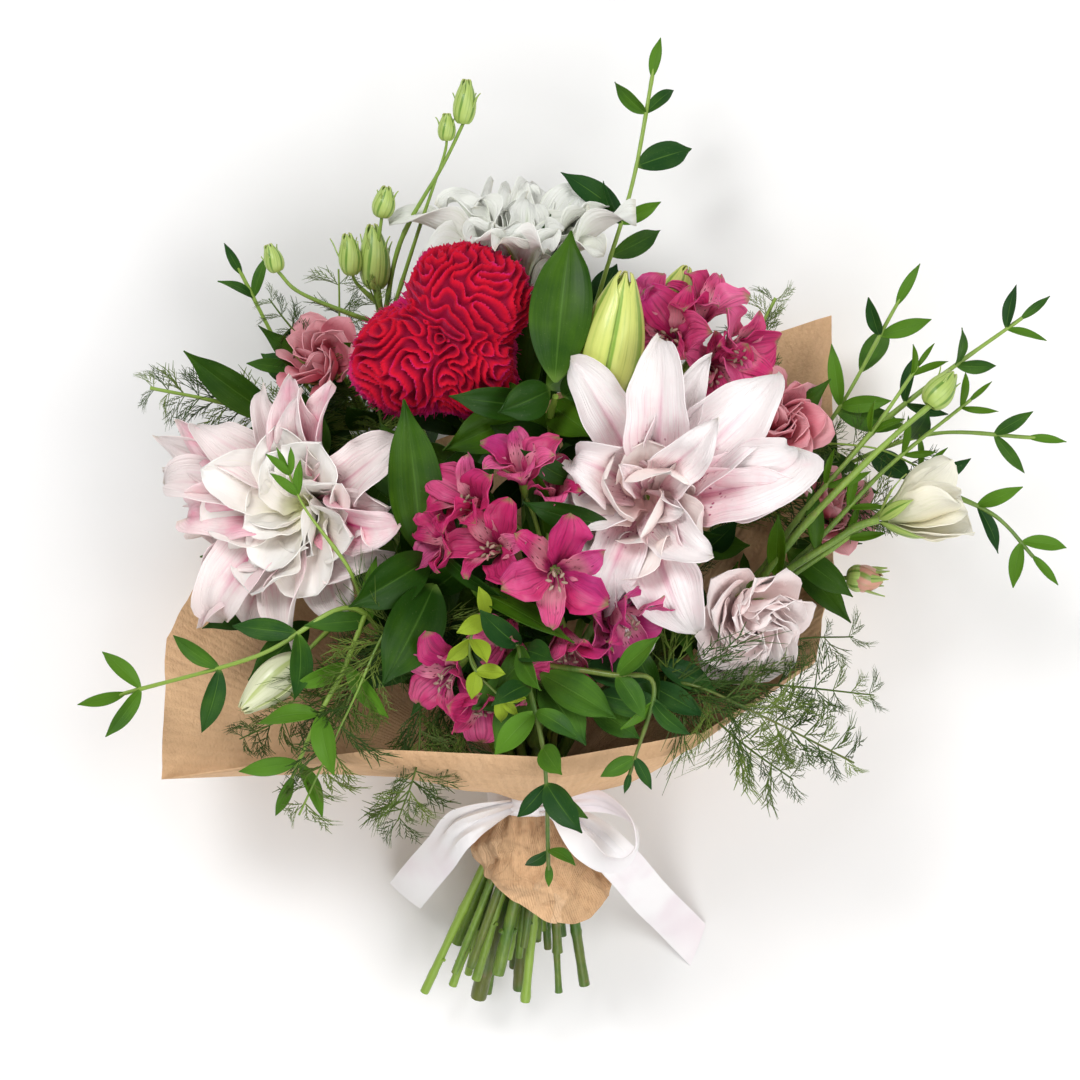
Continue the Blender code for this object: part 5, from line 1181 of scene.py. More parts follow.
def finishes():
    """Every finish by name, made once."""
    c = colours()
    if not FINISHES:
        rows = {
            "pink_lily": (lily_finish, c.lily, c.blush, c.stripe, (0.44, 0.02, 0.14), 1.35),
            "deep_lily": (
                lily_finish, (0.99, 0.86, 0.85), (0.92, 0.38, 0.50), (0.70, 0.05, 0.24), (0.36, 0.01, 0.10),
                1.7),
            "white_lily": (
                lily_finish, c.white, (0.82, 0.84, 0.72), (0.36, 0.52, 0.10), (0.70, 0.66, 0.45), 1.7),
            "lily_heart": (
                plain_petal_finish, c.lily_heart, (0.99, 0.91, 0.86), (0.96, 0.60, 0.58), 0.45, 0.16),
            "white_heart": (
                plain_petal_finish, (0.99, 0.93, 0.87), (0.99, 0.97, 0.94), (0.76, 0.82, 0.24), 0.42, 0.07),
            "pale_bud": (bud_finish, (0.74, 0.76, 0.52), (0.50, 0.58, 0.22)),
            "rose": (plain_petal_finish, c.rose, c.rose_light, (0.66, 0.17, 0.23)),
            "pale": (plain_petal_finish, c.pale, (0.99, 0.88, 0.87), (0.97, 0.72, 0.70), 0.5, 0.12),
            "cream": (plain_petal_finish, c.cream, (0.90, 0.87, 0.74), (0.60, 0.62, 0.30), 0.45),
            "alstro": (alstroemeria_finish, False),
            "alstro_dashed": (alstroemeria_finish, True),
            "dark_leaf": (leaf_finish, c.ruscus, c.ruscus_light, 0.42, 0.08, 0.25),
            "sprig_leaf": (leaf_finish, c.sprig, c.sprig_light, 0.5, 0.03),
            "stem": (stem_finish, c.stem, c.stem_light),
            "anther": (stem_finish, (0.24, 0.20, 0.10), (0.45, 0.30, 0.25)),
            "tape": (stem_finish, (0.05, 0.12, 0.03), (0.10, 0.20, 0.05)),
            "fern": (fern_finish,),
            "lily_bud": (bud_finish, c.lime, c.lime_dark),
            "green_bud": (bud_finish, (0.42, 0.56, 0.14), (0.13, 0.27, 0.03), 4.0),
            "rose_bud": (bud_finish, (0.68, 0.34, 0.25), (0.22, 0.33, 0.06), 3.0),
            "celosia": (celosia_finish,),
            "kraft": (kraft_finish,),
            "satin": (satin_finish,),
        }
        for name, (make, *values) in rows.items():
            FINISHES[name] = make(name, *values)
    return FINISHES


# Stems and leaves

STEM_TAPER = 0.8
SPRIG_TAPER = 0.5
FERN_TAPER = 0.3
STEM_ROOT = 1.04
BRANCH_ROOT = 1.1
BRANCH_TAPER = 0.75
STALK_TAPER = 0.7
STALK_STEP = 3.0
EXTRA_TONES = {"yellow_sprig": 1.25, "near_sprig": 0.75}
# Leaves in the shade between the blooms get tones below this: painted shade, a darker green.
SHADE_TONE = 0.6
LEAF_MARGIN = 1.3
SMALLEST_LEAF = 4.0
LEAF_LOWEST = 8.0
JOINT_GAP = (38, 70)
JOINT_WIDTH = 2.2
JOINT_SWELL = 0.16
STUB_LONG = 1.5
FERN_STEMS = [name for name in STEMS if name.startswith("fern")]
SPRIG_STEMS = [name for name in STEMS if name.startswith("eucalyptus")]

# Stems that carry more leaves than the source holds: how many, and their length and width.
INNER_LEAVES = {
    "lily_right": (9, 60, 15), "lily_left": (9, 60, 15), "lily_top": (12, 58, 18), "celosia": (12, 60, 22),
    "alstroemeria_centre": (7, 54, 13), "alstroemeria_upper": (8, 54, 14), "alstroemeria_low": (5, 48, 14),
    "rose_left": (8, 50, 20), "rose_right": (8, 50, 20), "rose_low": (8, 46, 18),
    "lisianthus_pale": (6, 44, 13), "lisianthus_cream": (5, 40, 12), "lisianthus_bud": (9, 40, 11),
    "ruscus_left": (7, 56, 22),
    "ruscus_middle": (11, 62, 26), "ruscus_outer": (9, 54, 20), "eucalyptus_top": (9, 44, 18),
    "eucalyptus_left": (8, 42, 17), "eucalyptus_front": (5, 40, 17), "eucalyptus_right": (8, 42, 17),
    "eucalyptus_far_right": (6, 38, 15),
}


def stalk(line, radius, first, last):
    """A line with a point every few millimetres, and radii that vary and swell at the joints."""
    steps = np.linalg.norm(np.diff(line, axis=0), axis=1)
    run = np.concatenate([[0], np.cumsum(steps)])
    fine = np.linspace(0, run[-1], max(int(run[-1] / STALK_STEP), 8))
    points = np.stack([np.interp(fine, run, line[:, k]) for k in range(3)], 1)
    gap = vary(*JOINT_GAP)
    joint = np.exp(-((((fine + vary(0, gap)) % gap) - gap / 2) / JOINT_WIDTH) ** 2)
    uneven = 1 + 0.05 * np.sin(fine * 0.11 + vary(0, 6)) + 0.03 * np.sin(fine * 0.31)
    narrowing = first + (last - first) * ease(fine / fine[-1], 0.25, 0.9)
    return points, radius * narrowing * uneven * (1 + JOINT_SWELL * joint)


def stubs(line, radius):
    """Short stumps of trimmed side shoots on the bare lower end of a stem."""
    made = []
    for _ in range(random.randint(0, 2)):
        point, along = line_at(line[:10], vary(0.1, 0.8))
        side = turned_about(unit(np.cross(UP, along)), along, vary(0, TURN))
        end = point + (side + along * vary(0.3, 0.9)) * radius * STUB_LONG
        made.append((np.array([point, end]), [radius * 0.55, radius * 0.4]))
    return made


def make_stalks():
    """The bare stems and their side branches."""
    for name, (radius, _) in STEMS.items():
        tone = random.random()
        taper = FERN_TAPER if name in FERN_STEMS else SPRIG_TAPER if name in SPRIG_STEMS else STEM_TAPER
        bars = [stalk(LINES[name], radius, STEM_ROOT, taper)]
        for rows, end in ((BRANCHES, BRANCH_TAPER), (EXTRA_STALKS, STALK_TAPER)):
            for branch, row in rows.items():
                if row[0] == name:
                    bars.append(stalk(LINES[branch], row[-1], BRANCH_ROOT, end))
        bars += stubs(LINES[name], radius)
        piece = join(name + "_stalk", [tubes(name + "_stalk", bars, tone)])
        high = points_of(piece)[:, 1] / MM
        store(piece, "tone", tone * 0.9 + 0.5 * ease(high, -110, 120))
        complete(piece, "stem", [name + "_stem"])


def leaf(base, tip, width, arch, lean=0.1, rows=16, cols=8, **look):
    """A leaf from its base to its tip, arched over its length and leaning to one side."""
    base, tip = np.asarray(base, float), np.asarray(tip, float)
    chord = tip - base
    half = math.radians(max(arch, 1)) / 2
    long = np.linalg.norm(chord) * half / math.sin(half)
    side = unit(np.cross(UP, chord)) if abs(unit(chord)[2]) < 0.98 else BUNDLE_SIDE
    shape = dict(bow=0.88, full=0.85, point=0.45, narrow=0.05, cup=0.45, keel=0.012, wave=0.03, waves=1.2,
                 folds=0.012, sweep=sway(0.05))
    shape.update(look)
    return blade(base, chord, UP + side * lean, long, width, rows, cols, arch / 2, -arch, **shape)


def paper_wall():
    """The finished paper, to test what would reach through it."""
    return BVHTree.FromObject(bpy.data.objects["paper"], bpy.context.evaluated_depsgraph_get())


def room_before(wall, point, way, reach):
    """How much of a reach from a point is free before the paper."""
    clear = wall.ray_cast(Vector(point * MM), Vector(way), reach * MM)[3]
    return reach if clear is None else clear / MM


def inner_leaves(stem):
    """Leaves low on a stem, in the shade between the blooms."""
    count, long, width = INNER_LEAVES.get(stem, (0, 0, 0))
    line = LINES[stem][10:]
    wall = paper_wall()
    made = []
    for k in range(count):
        point, along = line_at(line, 0.3 + 0.6 * (k + random.random() * 0.6) / max(count, 1))
        side = turned_about(unit(np.cross(UP, along) + 1e-6), along, vary(0, TURN))
        way = unit(along * vary(0.3, 0.9) + side + UP * vary(-0.1, 0.35))
        size = long * vary(0.8, 1.15)
        room = room_before(wall, point, way, size * LEAF_MARGIN) / LEAF_MARGIN
        if room < size:
            size = room
            width = min(width, size / 2)
        tip = point + way * max(size, SMALLEST_LEAF)
        tip[2] = max(tip[2], LEAF_LOWEST)
        made.append(leaf(
            point, tip, width * vary(0.8, 1.15), vary(14, 40), sway(0.4), 12, 6,
            tone=SHADE_TONE * random.random(),
        ))
    return made


def leaf_pairs(line, first, last, pairs, long, width, near=0.9, shrink=0.3, tone=None):
    """Opposite pairs of leaves along a line, smaller towards its tip, and one at the tip.

    near is how closely they lie along the line, and shrink how much smaller the last pair is than the first.
    """
    made = []
    for k in range(pairs):
        point, along = line_at(line, first + (last - first) * k / max(pairs - 1, 1))
        across = unit(np.cross(UP, along))
        if k % 2:
            across = unit(across + UP * 0.5)
        for side in (-1, 1):
            size = long * vary(0.85, 1.1) * (1.12 - shrink * k / pairs)
            way = unit(along * near * vary(0.6, 1.4) + across * side + UP * vary(-0.1, 0.45))
            broad = width * size / long * vary(0.75, 1.05)
            made.append(leaf(
                point, point + way * size, broad, vary(16, 60), sway(0.9), 14, 8,
                point=0.2, cup=0.5, twist=sway(25), tone=tone,
            ))
    point, along = line_at(line, 0.99)
    end = long * (1.1 - shrink)
    broad = width * 0.7 * end / long
    made.append(leaf(point, point + along * end, broad, 24, 0.2, 14, 8, point=0.2, tone=tone))
    return made


def paired_leaves(stem):
    """The leaf pairs of one stem and its side branches."""
    shrink = 0.7 if stem == "eucalyptus_front" else 0.3
    made = []
    for line_name, row in LEAF_PAIRS.items():
        if owner_of(line_name) == stem:
            made += leaf_pairs(LINES[line_name], *row, shrink=shrink)
    for line_name, row in EXTRA_PAIRS.items():
        if owner_of(line_name) == stem:
            made += leaf_pairs(LINES[line_name], *row, tone=EXTRA_TONES.get(line_name, 0.9))
    return made


def make_leaves():
    """The large leaves, the paired leaves of the sprigs and the leaves between the blooms."""
    for stem in STEMS:
        if stem in FERN_STEMS:
            continue
        made = []
        for k, row in enumerate(LEAVES.get(stem, [])):
            made.append(leaf(*row, 24, 12, tone=0.12 if k else 0.35))
        made += inner_leaves(stem)
        for *row, twist in EXTRA_LEAVES.get(stem, []):
            made.append(leaf(*row, 20, 10, twist=twist, wave=0.05, tone=SHADE_TONE * random.random()))
        made += paired_leaves(stem)
        if made:
            look = "sprig_leaf" if stem in SPRIG_STEMS else "dark_leaf"
            dress(stem + "_leaves", made, look, [stem + "_stem"], sizes().leaf)


# Fern

TWIG_LONG = 44.0
TWIG_MARGIN = 1.3
TWIG_BOW = 0.3
SMALLEST_TWIG = 0.12
NEEDLE_LOWEST = 0.0006
SHOOT_STEP = (4.4, 7.4)
SHOOT_LONG = (8, 22)
NEEDLE_STEP = 3.9
NEEDLE_LONG = (7.0, 15.0)
SMALL_TWIG = 0.75
SMALL_TWIG_NEEDLE = 1.7


def needle():
    """One slim needle along +X, a metre long and a metre round, to be scaled."""
    deselect()
    bpy.ops.mesh.primitive_cone_add(
        vertices=3, radius1=1, radius2=0.35, depth=1, end_fill_type="NGON", location=(0.5, 0, 0),
        rotation=(0, math.pi / 2, 0),
    )
    bpy.ops.object.transform_apply(location=True, rotation=True, scale=True)
    return bpy.context.object


def needle_place(root, way, long, radius):
    """Where one needle goes, as copies() takes it."""
    face = UP if abs(unit(way)[2]) < 0.9 else BUNDLE_SIDE
    return root, way, face, (long * MM, radius * MM, radius * MM)


def twig(one, radius):
    """A twig with side shoots, each with needles, along +X in its own place."""
    places = [needle_place(np.zeros(3), np.array((1.0, 0.0, 0.0)), TWIG_LONG, radius * 1.5)]
    side = 1
    x = 4.0
    while x < TWIG_LONG - 1:
        side = -side
        long = SHOOT_LONG[0] + SHOOT_LONG[1] * (1 - x / TWIG_LONG) * vary(0.6, 1.2)
        turn = math.radians(vary(10, 32))
        way = np.array((math.cos(turn), side * math.sin(turn), vary(-0.45, 0.6)))
        root = np.array((x, 0.0, 0.0))
        places.append(needle_place(root, way, long, radius * 1.1))
        spot, flip = 1.5, 1
        while spot < long:
            flip = -flip
            lean = math.radians(vary(8, 26))
            across = unit(np.cross(unit(way), UP)) * flip
            aim = unit(way) * math.cos(lean) + across * math.sin(lean) + UP * sway(0.4)
            places.append(needle_place(root + unit(way) * spot, aim, vary(*NEEDLE_LONG), radius))
            spot += NEEDLE_STEP
        x += vary(*SHOOT_STEP)
    piece = join("twig", copies(one, places))
    points = points_of(piece) / MM
    bow = points[:, 0] ** 2 / TWIG_LONG
    set_points(piece, points + np.outer(bow, (-0.1, sway(0.45), -0.3)), tone=random.random())
    return piece


def frond_places(line, first, last, count, long):
    """Where the twigs of one frond go: point, direction, face and size of each."""
    places = []
    for k in range(count):
        point, along = line_at(line, first + (last - first) * k / (count - 1))
        across = unit(np.cross(UP, along))
        size = long * (1.05 - 0.6 * k / (count - 1)) / TWIG_LONG
        for side in (-1, 1):
            way = unit(along * vary(0.4, 1.3) + across * side + UP * vary(-0.4, 0.5))
            face = UP + across * sway(0.7) + along * sway(0.3)
            places.append((point, way, face, size * vary(0.75, 1.25)))
    return places


def make_ferns():
    """Fronds: copies of a few twigs along each line."""
    wall = paper_wall()
    one = needle()
    radius = sizes().needle / MM
    large = [twig(one, radius) for _ in range(4)]
    small = [twig(one, radius * SMALL_TWIG_NEEDLE) for _ in range(3)]
    bpy.data.objects.remove(one)
    for stem in FERN_STEMS:
        places, bars = [], []
        for line_name, row in FRONDS.items():
            if owner_of(line_name) == stem:
                places += frond_places(LINES[line_name], *row)
        for owner, points, count, long in EXTRA_FRONDS:
            if owner == stem:
                line = smooth_line([LINES[stem][12 + len(LINES[stem]) // 3], *points], BRANCH_STEPS)
                bars.append((line, np.linspace(1.0, 0.45, BRANCH_STEPS + 1)))
                places += frond_places(line, 0.3, 0.98, count, long)
        made = [tubes("frond", bars)] if bars else []
        for k, (point, way, face, size) in enumerate(places):
            reach = TWIG_LONG * TWIG_MARGIN
            bowed = unit(way - unit(face) * TWIG_BOW)
            room = min(room_before(wall, point, aim, size * reach) for aim in (way, bowed))
            size = max(room / reach, SMALLEST_TWIG)
            twigs = large if size > SMALL_TWIG else small
            made += copies(twigs[k % len(twigs)], [(point, way, face, size)])
            store(made[-1], "tone", random.random())
        piece = join(stem + "_needles", made)
        points = np.empty(len(piece.data.vertices) * 3, np.float32)
        piece.data.vertices.foreach_get("co", points)
        points[2::3] = np.maximum(points[2::3], NEEDLE_LOWEST)
        piece.data.vertices.foreach_set("co", points)
        complete(piece, "fern", [stem + "_stem"], 30)
    for piece in large + small:
        bpy.data.objects.remove(piece)


# Blooms

HEART_HEIGHT = 19
MIDDLE_HEIGHT = 21
PALE_RAISE = 13
LOBE_CLOSE = 0.75
OPEN_FLORET = 75

# Each lily's finish, the finish of its heart, its slot, and how broad its petals are beside the source's.
LILY_LOOKS = {
    "lily_right": ("pink_lily", "lily_heart", "lily_pink", 0.95),
    "lily_left": ("deep_lily", "white_heart", "lily_pink", 1.0),
    "lily_top": ("white_lily", "white_lily", "lily_white", 1.15),
}
CUP_LOOKS = {"lisianthus_pale": ("pale", "bloom_pale"), "lisianthus_cream": ("cream", "bloom_cream")}


def seat(name):
    """Where a head sits on the end of its stem."""
    line, axis = LINES[name], unit(HEAD_AXES[name])
    end = unit(line[-1] - line[-2])
    return line[-1] + end * 0.4, axis


def petal(start, axis, azimuth, lean, height, gap, *shape, **look):
    """A petal of a bloom: its root stands out from the bloom's axis, and its face leans round it."""
    out = outward(axis, azimuth)
    face = turned_about(axis, out, math.radians(lean))
    return blade(start + axis * height + out * gap, out, face, *shape, **look)


def lily_petals(start, axis, rows, broad):
    """The long petals of the source, pinched at the tip and ruffled along their edges."""
    made = []
    for azimuth, long, width, lift, curl, height, hook in rows:
        made.append(petal(
            start, axis, azimuth, 11, height, 3.2, long * 1.03, width * broad, 30, 14, lift, curl, hook - 34,
            bow=1.22, full=0.7, point=0.08, narrow=0.4, cup=1.0, flat_tip=0.2, keel=0.05, wave=0.12,
            waves=vary(1.6, 2.4), twist=sway(30), sweep=sway(0.2),
            folds=0.032, fray=0.05,
        ))
    return made


def ruffled_petals(start, axis, rows):
    """Petals with wavier edges, between those of the source."""
    made = []
    for azimuth, long, width, lift, curl, height in rows:
        made.append(petal(
            start, axis, azimuth, vary(-12, 26), height, 3, long, width, 28, 13, lift, curl,
            vary(-90, 10), bow=1.2, full=0.8, point=0.15, narrow=0.45, cup=1.0, flat_tip=0.3,
            keel=0.05, wave=0.12, waves=vary(1.8, 2.8), twist=sway(45),
            sweep=sway(0.22), folds=0.03, fray=0.06,
        ))
    return made


def heart_petals(start, axis, rows):
    """The short blunt petals that stand upright round the middle."""
    made = []
    for azimuth, long, width, lift, curl, cup, blunt in rows:
        made.append(petal(
            start, axis, azimuth, 14, HEART_HEIGHT, 2, long, width, 22, 13, lift, curl, vary(-30, 20),
            bow=1.35, full=blunt, narrow=0.4, cup=cup, flat_tip=0.1, keel=0.02, wave=0.07, waves=2.0,
            twist=sway(20), sweep=sway(0.1), folds=0.02, fray=0.04,
        ))
    return made


def middle_petals(start, axis, rows):
    """The small cupped petals in the very middle, in rings."""
    made = []
    for count, long, width, lift, curl, turn in rows:
        for k in range(count):
            made.append(petal(
                start, axis, turn + 360 * k / count + sway(14), 20, MIDDLE_HEIGHT, 3,
                long * vary(0.92, 1.08), width, 18, 11, lift + sway(6), curl,
                vary(-40, 0), bow=1.35, full=0.5, narrow=0.4, cup=1.05, flat_tip=0.15, keel=0.015,
                wave=0.03, waves=2.2, twist=sway(10), folds=0.012, fray=0.02,
            ))
    return made


def make_lilies():
    """The three double lilies: long petals in layers, and short ones upright in the middle."""
    for name, (look, heart, slot, broad) in LILY_LOOKS.items():
        start, axis = seat(name)
        made = lily_petals(start, axis, LILY_PETALS[name], broad)
        made += ruffled_petals(start, axis, LILY_RUFFLES[name])
        dress(name + "_petals", made, look, [name], sizes().petal)
        made = heart_petals(start, axis, LILY_HEARTS[name])
        made += middle_petals(start, axis, LILY_MIDDLES[name])
        dress(name + "_heart", made, heart, [name], sizes().petal)


def make_cup_blooms():
    """Roses and lisianthus: layers of cupped petals that close over each other in the middle."""
    for name, (radius, layers, ruffle) in CUP_BLOOMS.items():
        look, slot = CUP_LOOKS.get(name, ("rose", "bloom_pink"))
        start, axis = seat(name)
        start = start + axis * (PALE_RAISE if name == "lisianthus_pale" else 0)
        made = []
        for count, reach, wide, lift, curl, turn, hook in layers:
            for k in range(count):
                made.append(petal(
                    start, axis, turn + 360 * k / count + sway(8), 18, radius * 0.16,
                    radius * 0.12, reach * radius * vary(0.95, 1.05), wide * radius, 14, 11,
                    lift + sway(5), curl, hook, bow=1.35, full=0.62, narrow=0.2, cup=0.95,
                    flat_tip=0.35, wave=ruffle * 1.5, waves=2.0 + 12 * ruffle, twist=sway(10),
                ))
        dress(name + "_petals", made, look, [name], sizes().petal)
        made = []
        for k in range(5):
            made.append(petal(
                start, axis, 20 + 72 * k, 0, 0, 2, radius, radius * 0.3, 12, 6, 30, 40, bow=0.8, full=0.8,
                point=0.5, narrow=0.08, cup=0.6,
            ))
        dress(name + "_sepals", made, "green_bud", [name], sizes().leaf)


def bud_lobes(
    base, tip, width, count, turn, wrap, layer=1.0, foot=0.35, end=0.16, skew=0.85, twist=0.0, part=0.0
):
    """Lobes that lie on one closed bud, each from its base to its tip, and part a little at the tip."""
    base, tip = np.asarray(base, float), np.asarray(tip, float)
    axis, long = unit(tip - base), np.linalg.norm(tip - base)
    right, top = flower_frame(axis)
    made = []
    for k in range(count):
        piece, s, t = blank(18, 8)
        share = foot * (1 - t) + end * t + (1 - (foot + end) / 2) * np.sin(np.pi * t**skew) ** 0.8
        radius = width / 2 * layer * share * (1 + 0.05 * s - 0.05 * s**2 - 0.03 * np.exp(-((s / 0.13) ** 2)))
        radius = radius + part * ease(t, 0.84, 1.0) * (1 - 0.5 * np.abs(s))
        closing = 1 - LOBE_CLOSE * ease(t, 0.8, 1)
        angle = np.radians(turn + 360 * k / count + twist * t) + s * math.radians(wrap) * closing
        spoke = right * np.cos(angle)[:, None] + top * np.sin(angle)[:, None]
        set_points(piece, base + axis * (t * long)[:, None] + spoke * radius[:, None], tone=random.random())
        made.append(piece)
    return made


def sepals(base, axis, count, long, width, lift, curl, root=1.2):
    """Narrow green sepals round the foot of a bud."""
    made = []
    for k in range(count):
        made.append(petal(
            base, axis, 40 + 360 * k / count + sway(8), 0, 0, root,
            long * vary(0.8, 1.15), width, 12, 4, lift + sway(8), curl,
            vary(-40, 0), bow=0.7, full=0.8, point=0.5, narrow=0.5, cup=0.6,
        ))
    return made


def make_buds():
    """Lily buds, green lisianthus buds and the rose bud."""
    for name, (branch, tip, width) in LILY_BUDS.items():
        base = LINES[branch][-1]
        made = bud_lobes(base, tip, width, 3, 90, 56, part=1.5)
        made += bud_lobes(base, tip, width, 3, 150, 40, 0.95, part=0.8)
        look = "pale_bud" if name == "lily_bud_low" else "lily_bud"
        dress(name + "_tepals", made, look, [name], sizes().petal * 1.6)
    for stem, rows in GREEN_BUDS.items():
        made = []
        for branch, tip, width in rows:
            base = LINES[branch][-1]
            reach = np.array(tip, float) - base
            made += bud_lobes(base, tip, width, 5, 20, 44, foot=0.5, end=0.22, skew=0.8, twist=36, part=1.0)
            made += sepals(base, unit(reach), 5, np.linalg.norm(reach) * 0.9, width * 0.2, 62, 26)
        dress(stem + "_buds", made, "green_bud", [stem + "_stem"], sizes().leaf * 1.4)
    branch, tip, width = ROSE_BUD
    base = LINES[branch][-1]
    axis = unit(np.array(tip, float) - base)
    top = np.array(tip) - axis * 3
    made = bud_lobes(base + axis * 2, top, width * 0.9, 3, 20, 76, foot=0.5, end=0.3, twist=60)
    dress("rose_bud_petals", made, "rose_bud", ["rose_bud"], sizes().petal)
    made = bud_lobes(base, base + axis * 11, width * 0.9, 5, 0, 40, foot=0.5, end=0.75, skew=0.9)
    made += sepals(base, axis, 5, 24, 6, 66, 30, 3.0)
    dress("rose_bud_sepals", made, "green_bud", ["rose_bud"], sizes().leaf * 1.4)


def floret_petals(root, axis, size, turn, lift):
    """The petals of one floret: three broad outer ones and, between them, three narrower dashed ones."""
    outer, inner = [], []
    for k in range(6):
        if k % 2:
            made, wide, long, slope, bow = inner, 0.48, 1.0, lift + 6, 1.2
        else:
            made, wide, long, slope, bow = outer, 0.72, 1.02, lift, 1.6
        made.append(petal(
            root, axis, turn + 60 * k, 12, size * 0.26, 1.6, size * long, wide * size, 15, 9,
            slope + sway(6), -lift * 0.7, vary(-50, -10), bow=bow, full=0.72, narrow=0.2,
            cup=0.95, flat_tip=0.3, keel=0.03, wave=0.08, waves=2.6, twist=sway(26),
            sweep=sway(0.12), folds=0.02, fray=0.05,
        ))
    return outer, inner


def floret_stamens(root, axis, size, turn):
    """The stamens of one open floret, each a bent thread with its anther across the end."""
    made = []
    for k in range(6):
        out = outward(axis, turn + 60 * k + 20)
        start = root + axis * size * 0.3
        end = start + axis * size * vary(0.42, 0.56) + out * size * 0.12
        end = end - outward(axis, 90) * size * 0.12
        made.append((smooth_line([start, (start + end) / 2 + out * 2, end], 8), 0.45))
        made.append((np.array([end - out * 1.8, end, end + out * 1.8]), [0.5, 1.1, 0.5]))
    return made


def make_alstroemeria():
    """Alstroemeria heads: florets on short stalks from the end of their stem."""
    for name, florets in ALSTROEMERIA.items():
        line = LINES[name]
        along = unit(line[-1] - line[-2])
        hub = line[-1] + along * 3.4
        outer, inner, stamens = [], [], []
        stalks = [(np.array([line[-1], hub + along * 3]), [3.0, 2.0])]
        for centre, axis, size, turn, lift in florets:
            axis = unit(axis)
            root = np.array(centre, float) - axis * size * 0.5
            stalks.append((smooth_line([hub, (hub + root) / 2 + along * 6, root + axis * 2], 10), 1.3))
            stalks.append((np.array([root, root + axis * 5, root + axis * size * 0.34]), [1.6, 2.6, 3.2]))
            broad, narrow = floret_petals(root, axis, size, turn, lift)
            outer += broad
            inner += narrow
            if lift < OPEN_FLORET:
                stamens += floret_stamens(root, axis, size, turn)
        for made, part, look in ((outer, "outer", "alstro"), (inner, "inner", "alstro_dashed")):
            dress("%s_%s_petals" % (name, part), made, look, [name], sizes().petal)
        for made, part, look in ((stamens, "stamens", "anther"), (stalks, "stalks", "stem")):
            piece = join("%s_%s" % (name, part), [tubes(part, made, 0.5, 2)])
            complete(piece, look, [name])


# Celosia

HEAD_LEVELS = 7
SMOOTH_ROUNDS = 30
LUMP_ROUNDS = 160
LUMP_HEIGHT = 6.0
CREST_HEIGHT = 0.5
GRAIN = 0.14
FRINGE_COUNT = 700
FRINGE_LONG = 4.6
FRINGE_THICK = 0.5
FRINGE_SINK = 1.5
FOLD_WAVE = 14.5
FOLD_WAVES = 70
FOLD_ROUNDS = 5
FOLD_NEAR = 5
FOLD_FAR = 40
FOLD_SOFT = 5


def spread(values, edges, count, rounds):
    """Values evened out over a mesh, each point with its neighbours, a number of times."""
    degree = np.bincount(edges.ravel(), minlength=count)
    for _ in range(rounds):
        total = np.bincount(edges[:, 0], values[edges[:, 1]], count)
        total += np.bincount(edges[:, 1], values[edges[:, 0]], count)
        values = 0.5 * values + 0.5 * total / degree
    return values


def lobed_reach(centre, way):
    """How far the head reaches from its centre in each direction."""
    reach = np.full(len(way), 6.0)
    for place, size in CELOSIA_LOBES:
        size = np.array(size, float)
        o, d = (centre - np.array(place, float)) / size, way / size
        a, half_b, c = (d * d).sum(1), d @ o, o @ o - 1
        root = half_b**2 - a * c
        far = np.where(root > 0, (-half_b + np.sqrt(np.maximum(root, 0))) / a, 0)
        reach = np.maximum(reach, far)
    return reach


def fold_maze(points, edges, count):
    """Winding crests of even width over a surface, from 0 in the folds to 1 on the crests."""
    draw = np.random.default_rng(sizes().seed)
    maze = np.zeros(count)
    bent = points + 4.5 * np.sin(points[:, [1, 2, 0]] / 7.0) + 2.6 * np.sin(points[:, [2, 0, 1]] / 3.9)
    for _ in range(FOLD_WAVES):
        maze += np.cos(bent @ unit(draw.normal(size=3)) * (2 * math.pi / FOLD_WAVE) + draw.uniform(0, TURN))
    for _ in range(FOLD_ROUNDS):
        near = spread(maze, edges, count, FOLD_NEAR)
        far = spread(near, edges, count, FOLD_FAR)
        maze = np.tanh((near - far) * 7 / np.abs(near - far).max())
    return 1 - np.abs(spread(maze, edges, count, FOLD_SOFT)) ** 1.2


